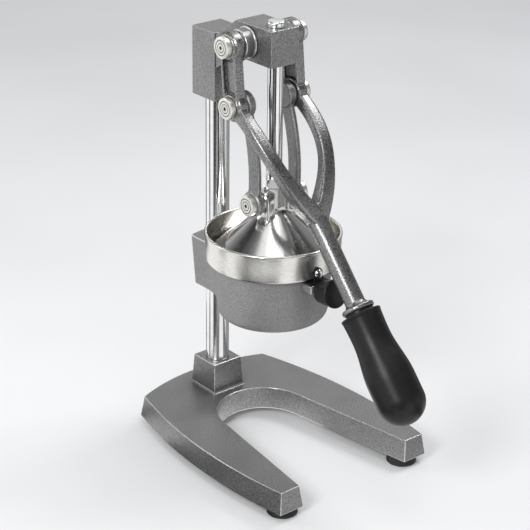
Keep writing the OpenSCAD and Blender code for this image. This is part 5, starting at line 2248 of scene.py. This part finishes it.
@dataclass
class Studio:
    """Pale floor, soft light and the pale and dark cards that the bright metal reflects.

    Directions are degrees to the camera's right of the camera, as the press sees it.
    """

    layout: Layout
    facing: float = -130.0
    floor_half: float = 9.0
    floor_pale: Colour = (0.84, 0.845, 0.85)
    floor_dull: Colour = (0.80, 0.805, 0.81)
    floor_cloud: float = 400.0
    bounce: float = 0.5
    backdrop: Colour = (0.93, 0.935, 0.94)
    room: Colour = (0.62, 0.62, 0.63)
    ceiling: Pair = (60.0, 67.0)
    dim_walls: Pair = (24.0, 37.0)
    low_walls: Pair = (12.0, 17.0)
    card_ring: Pair = (335.0, 455.0)
    far_cards: Sequence[Card] = (
        Card((530.0, 760.0), (-150.0, -50.0), 1.0),
        Card((25.0, 185.0), (540.0, 760.0), 0.02),
    )
    gap_card: Card = Card((-64.0, -14.0), (-40.0, 45.0), 1.6)
    apron: float = 0.8
    apron_edge: Pair = (230.0, 240.0)
    apron_behind: Pair = (-115.0, -112.0)
    aim_height: float = 0.22
    lamps: Sequence[Lamp] = (
        Lamp("key_softbox", -27, 31, 1.4, 0.45, 9.0),
        Lamp("left_softbox", -95, 25, 1.5, 0.6, 2.5),
        Lamp("right_softbox", 125, 54, 1.4, 0.5, 6.5),
        Lamp("top_softbox", 10, 74, 1.4, 0.6, 1.5),
    )
    near_column: Sequence[Band] = (
        Band(-180, -157, 0.10),
        Band(-157, -134, 0.12),
        Band(-134, -90, 1.0),
        Band(-87, -77, 0.15),
        Band(-70, -43, 1.0),
        Band(-37, -11, 0.02),
        Band(-9, 0, 0.15),
        Band(0, 15, 0.01),
        Band(18, 57, 1.0),
        Band(59, 67, 0.03),
        Band(71, 94, 0.8),
        Band(95, 152, 0.3),
        Band(152, 180, 0.1),
    )
    near_ring: Sequence[Band] = (
        Band(-180, -150, 0.3),
        Band(-150, -65, 1.0),
        Band(-60, -38, 0.45),
        Band(-36, 15, 1.0),
        Band(20, 43, 1.0),
        Band(47, 75, 0.02),
        Band(78, 95, 0.9),
        Band(98, 150, 0.3),
        Band(152, 180, 0.1),
    )
    around: Sequence[Band] = (
        Band(-180, -158, 1.0),
        Band(-156, -150, 0.8),
        Band(-147, -140, 0.5),
        Band(-130, -122, 0.24),
        Band(-114, -104, 0.06),
        Band(-96, -90, 0.2),
        Band(-80, -70, 0.4),
        Band(-55, 40, 0.4),
        Band(60, 72, 0.25),
        Band(78, 114, 0.02),
        Band(126, 147, 0.22),
        Band(158, 180, 1.0),
    )

    @staticmethod
    def stops(bands: Sequence[Band]) -> list[tuple[float, Colour]]:
        """A ramp's stops for bands of the full circle.

        Args:
            bands: The bands, in rising order.

        Returns:
            Place and colour of each stop.
        """
        edge = 0.01
        turns = [(turn, band.light) for band in bands for turn in (band.start + edge, band.end - edge)]
        return [(turn / 360 + 0.5, grey(light)) for turn, light in turns]

    def bands(self, board: Board, x: Signal, y: Signal, bands: Sequence[Band]) -> Signal:
        """The light of the bands in the direction of a point, whose X and Y are given from an axis."""
        share = board.math("ARCTAN2", *reversed(self.from_camera(x, y))) * (0.5 / math.pi) + 0.5
        return board.add("ShaderNodeValToRGB", {"stops": self.stops(bands)}, {0: share})

    def from_camera(self, x: Signal, y: Signal) -> tuple[Signal, Signal]:
        """How far a point lies towards the camera and to the camera's right."""
        turn = math.radians(self.facing)
        return x * math.cos(turn) + y * math.sin(turn), x * -math.sin(turn) + y * math.cos(turn)

    def laid(self, board: Board, under: Signal, card: Card, x: Signal, y: Signal) -> Signal:
        """Lays a card over what the floor shows.

        Args:
            board: The board to build on.
            under: The light of the floor under the card.
            card: The card.
            x: The point's X from the press axis.
            y: Its Y from the press axis.

        Returns:
            The floor's light with the card on it.
        """
        soft = 4.0
        inside: Signal | float = 1.0
        for way, (low, high) in zip(self.from_camera(x, y), (card.ahead, card.aside)):
            inside = within(way, low, low + soft) * (1 - within(way, high, high + soft)) * inside
        return board.mix(inside, under, grey(card.light))

    def floor(self) -> None:
        """The pale floor. Reflections see cards that lie on it."""
        made = bpy.data.materials.new("studio_floor")
        made.use_nodes = True
        made.cycles.emission_sampling = "NONE"
        board = Board(made.node_tree)
        x, y, _ = board.parts(board.place())
        dy = y - self.layout.press_y * MM
        column_y = (self.layout.press_y + self.layout.column_y) * MM
        about_column = self.bands(board, x, y - column_y, self.near_column)
        about_press = self.bands(board, x, dy, self.near_ring)
        away = board.distance(x, dy)
        (low, high), soft = self.card_ring, 6.0
        ring = within(away, low - soft, low + soft) * (1 - within(away, high - soft, high + soft))
        cards = board.mix(ring, about_column, about_press)
        for card in self.far_cards:
            cards = self.laid(board, cards, card, x, dy)
        apron = (1 - within(away, *self.apron_edge)) * (1 - within(dy, *self.apron_behind))
        cards = board.mix(apron, cards, grey(self.apron))
        cards = self.laid(board, cards, self.gap_card, x, dy)
        cloud = board.noise(board.place(), self.floor_cloud, 2.0)
        seen = board.mix(cloud.between(0.3, 0.7), self.floor_pale, self.floor_dull)
        camera = board.add("ShaderNodeLightPath", out="Is Camera Ray")
        matt = board.add("ShaderNodeBsdfDiffuse", None, {"Color": board.mix(camera, grey(self.bounce), seen)})
        glow = board.add("ShaderNodeEmission", None, {"Color": cards})
        glossy = board.add("ShaderNodeLightPath", out="Is Glossy Ray")
        floor_shader = board.add("ShaderNodeMixShader", None, {0: glossy, 1: matt, 2: glow})
        board.add_output("ShaderNodeOutputMaterial", floor_shader)
        half = self.floor_half
        mesh = bpy.data.meshes.new("studio_floor")
        mesh.from_pydata([(-half, -half, 0), (half, -half, 0), (half, half, 0), (-half, half, 0)], [], [(0, 1, 2, 3)])
        mesh.materials.append(made)
        floor = linked("studio_floor", mesh)

    def sky(self) -> None:
        """The pale room. Reflections see a white ceiling and grey walls with dark gaps."""
        world = bpy.data.worlds.new("studio_room")
        world.use_nodes = True
        world.cycles.sampling_method = "NONE"
        bpy.context.scene.world = world
        board = Board(world.node_tree)
        x, y, z = board.parts(board.add("ShaderNodeTexCoord", out="Generated"))
        rise = board.math("ARCSINE", z)

        def above(heights: Pair) -> Signal:
            """Share of the way from one height above the horizon to another, given in degrees."""
            low, high = heights
            return rise.between(math.radians(low), math.radians(high))

        walls = self.bands(board, x, y, self.around)
        walls = board.mix(above(self.dim_walls) * 0.5, walls, grey(0.0))
        upper = board.mix(above(self.ceiling), walls, grey(1.0))
        mirrored_room = board.mix(above(self.low_walls), self.bands(board, x, y, self.near_column), upper)
        glossy = board.add("ShaderNodeLightPath", out="Is Glossy Ray")
        colour = board.mix(glossy, self.room, mirrored_room)
        camera = board.add("ShaderNodeLightPath", out="Is Camera Ray")
        colour = board.mix(camera, colour, self.backdrop)
        background = board.add("ShaderNodeBackground", None, {"Color": colour, "Strength": 1.0})
        board.add_output("ShaderNodeOutputWorld", background)

    def hang(self, lamp: Lamp) -> None:
        """Hangs a soft light that faces the press.

        Args:
            lamp: The lamp.
        """
        data = bpy.data.lights.new(lamp.name, "AREA")
        data.size = lamp.size
        data.energy = lamp.power
        made = linked(lamp.name, data)
        a, e = math.radians(self.facing + lamp.turn), math.radians(lamp.rise)
        way = Vector((math.cos(a) * math.cos(e), math.sin(a) * math.cos(e), math.sin(e)))
        aim = Vector((0, self.layout.press_y * MM, self.aim_height))
        face = way.to_track_quat("Z", "Y").to_matrix().to_4x4()
        made.matrix_world = Matrix.Translation(aim + way * lamp.distance) @ face
        made.visible_camera = False

    def build(self) -> None:
        """Sets up the floor, the room and the lamps."""
        self.floor()
        self.sky()
        for lamp in self.lamps:
            self.hang(lamp)
        bpy.context.scene.view_settings.view_transform = "Standard"


def main() -> None:
    """Builds the press, the studio and the camera."""
    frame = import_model()
    layout = Layout.read(frame)
    log.info("press axis at y = %.3f mm", layout.press_y)
    shop = Workshop(layout, frame["nodes"])
    # Rounded edges and the bowl's lip: worn bright metal that is also a painted highlight.
    worn_and_highlight = Hammertone("hammertone_edge", metallic=0.85, roughness=0.30, wear_and_highlight=0.85)
    base = Hammertone("hammertone_base", shade=0.275, depth=0.16, painted_shade_reach=75.0, edges=0.6)
    head = Hammertone("hammertone", edges=0.6)
    holder = Hammertone("hammertone_fine", 0.30, metallic=0.35, roughness=0.5, grain=0.9, contrast=0.3, depth=0.05)
    lever = Hammertone("hammertone_lever", 0.30, 0.9, 0.31, grain=1.3, contrast=0.35, depth=0.2, edges=0.65)
    rod = Hammertone("hammertone_rod", shade=0.26, metallic=0.7, roughness=0.40, depth=0.16)
    for part in (
        BaseCasting(shop, (base, worn_and_highlight)),
        ColumnAndHead(shop, (head, worn_and_highlight)),
        CupHolder(shop, (holder, worn_and_highlight)),
        JuiceCup(shop),
        ForkedLever(shop, lever),
        ConnectingRods(shop, rod),
        Plunger(shop),
    ):
        part.build()
    Studio(layout).build()
    View().build(layout.press_y)


if __name__ == "__main__":
    main()
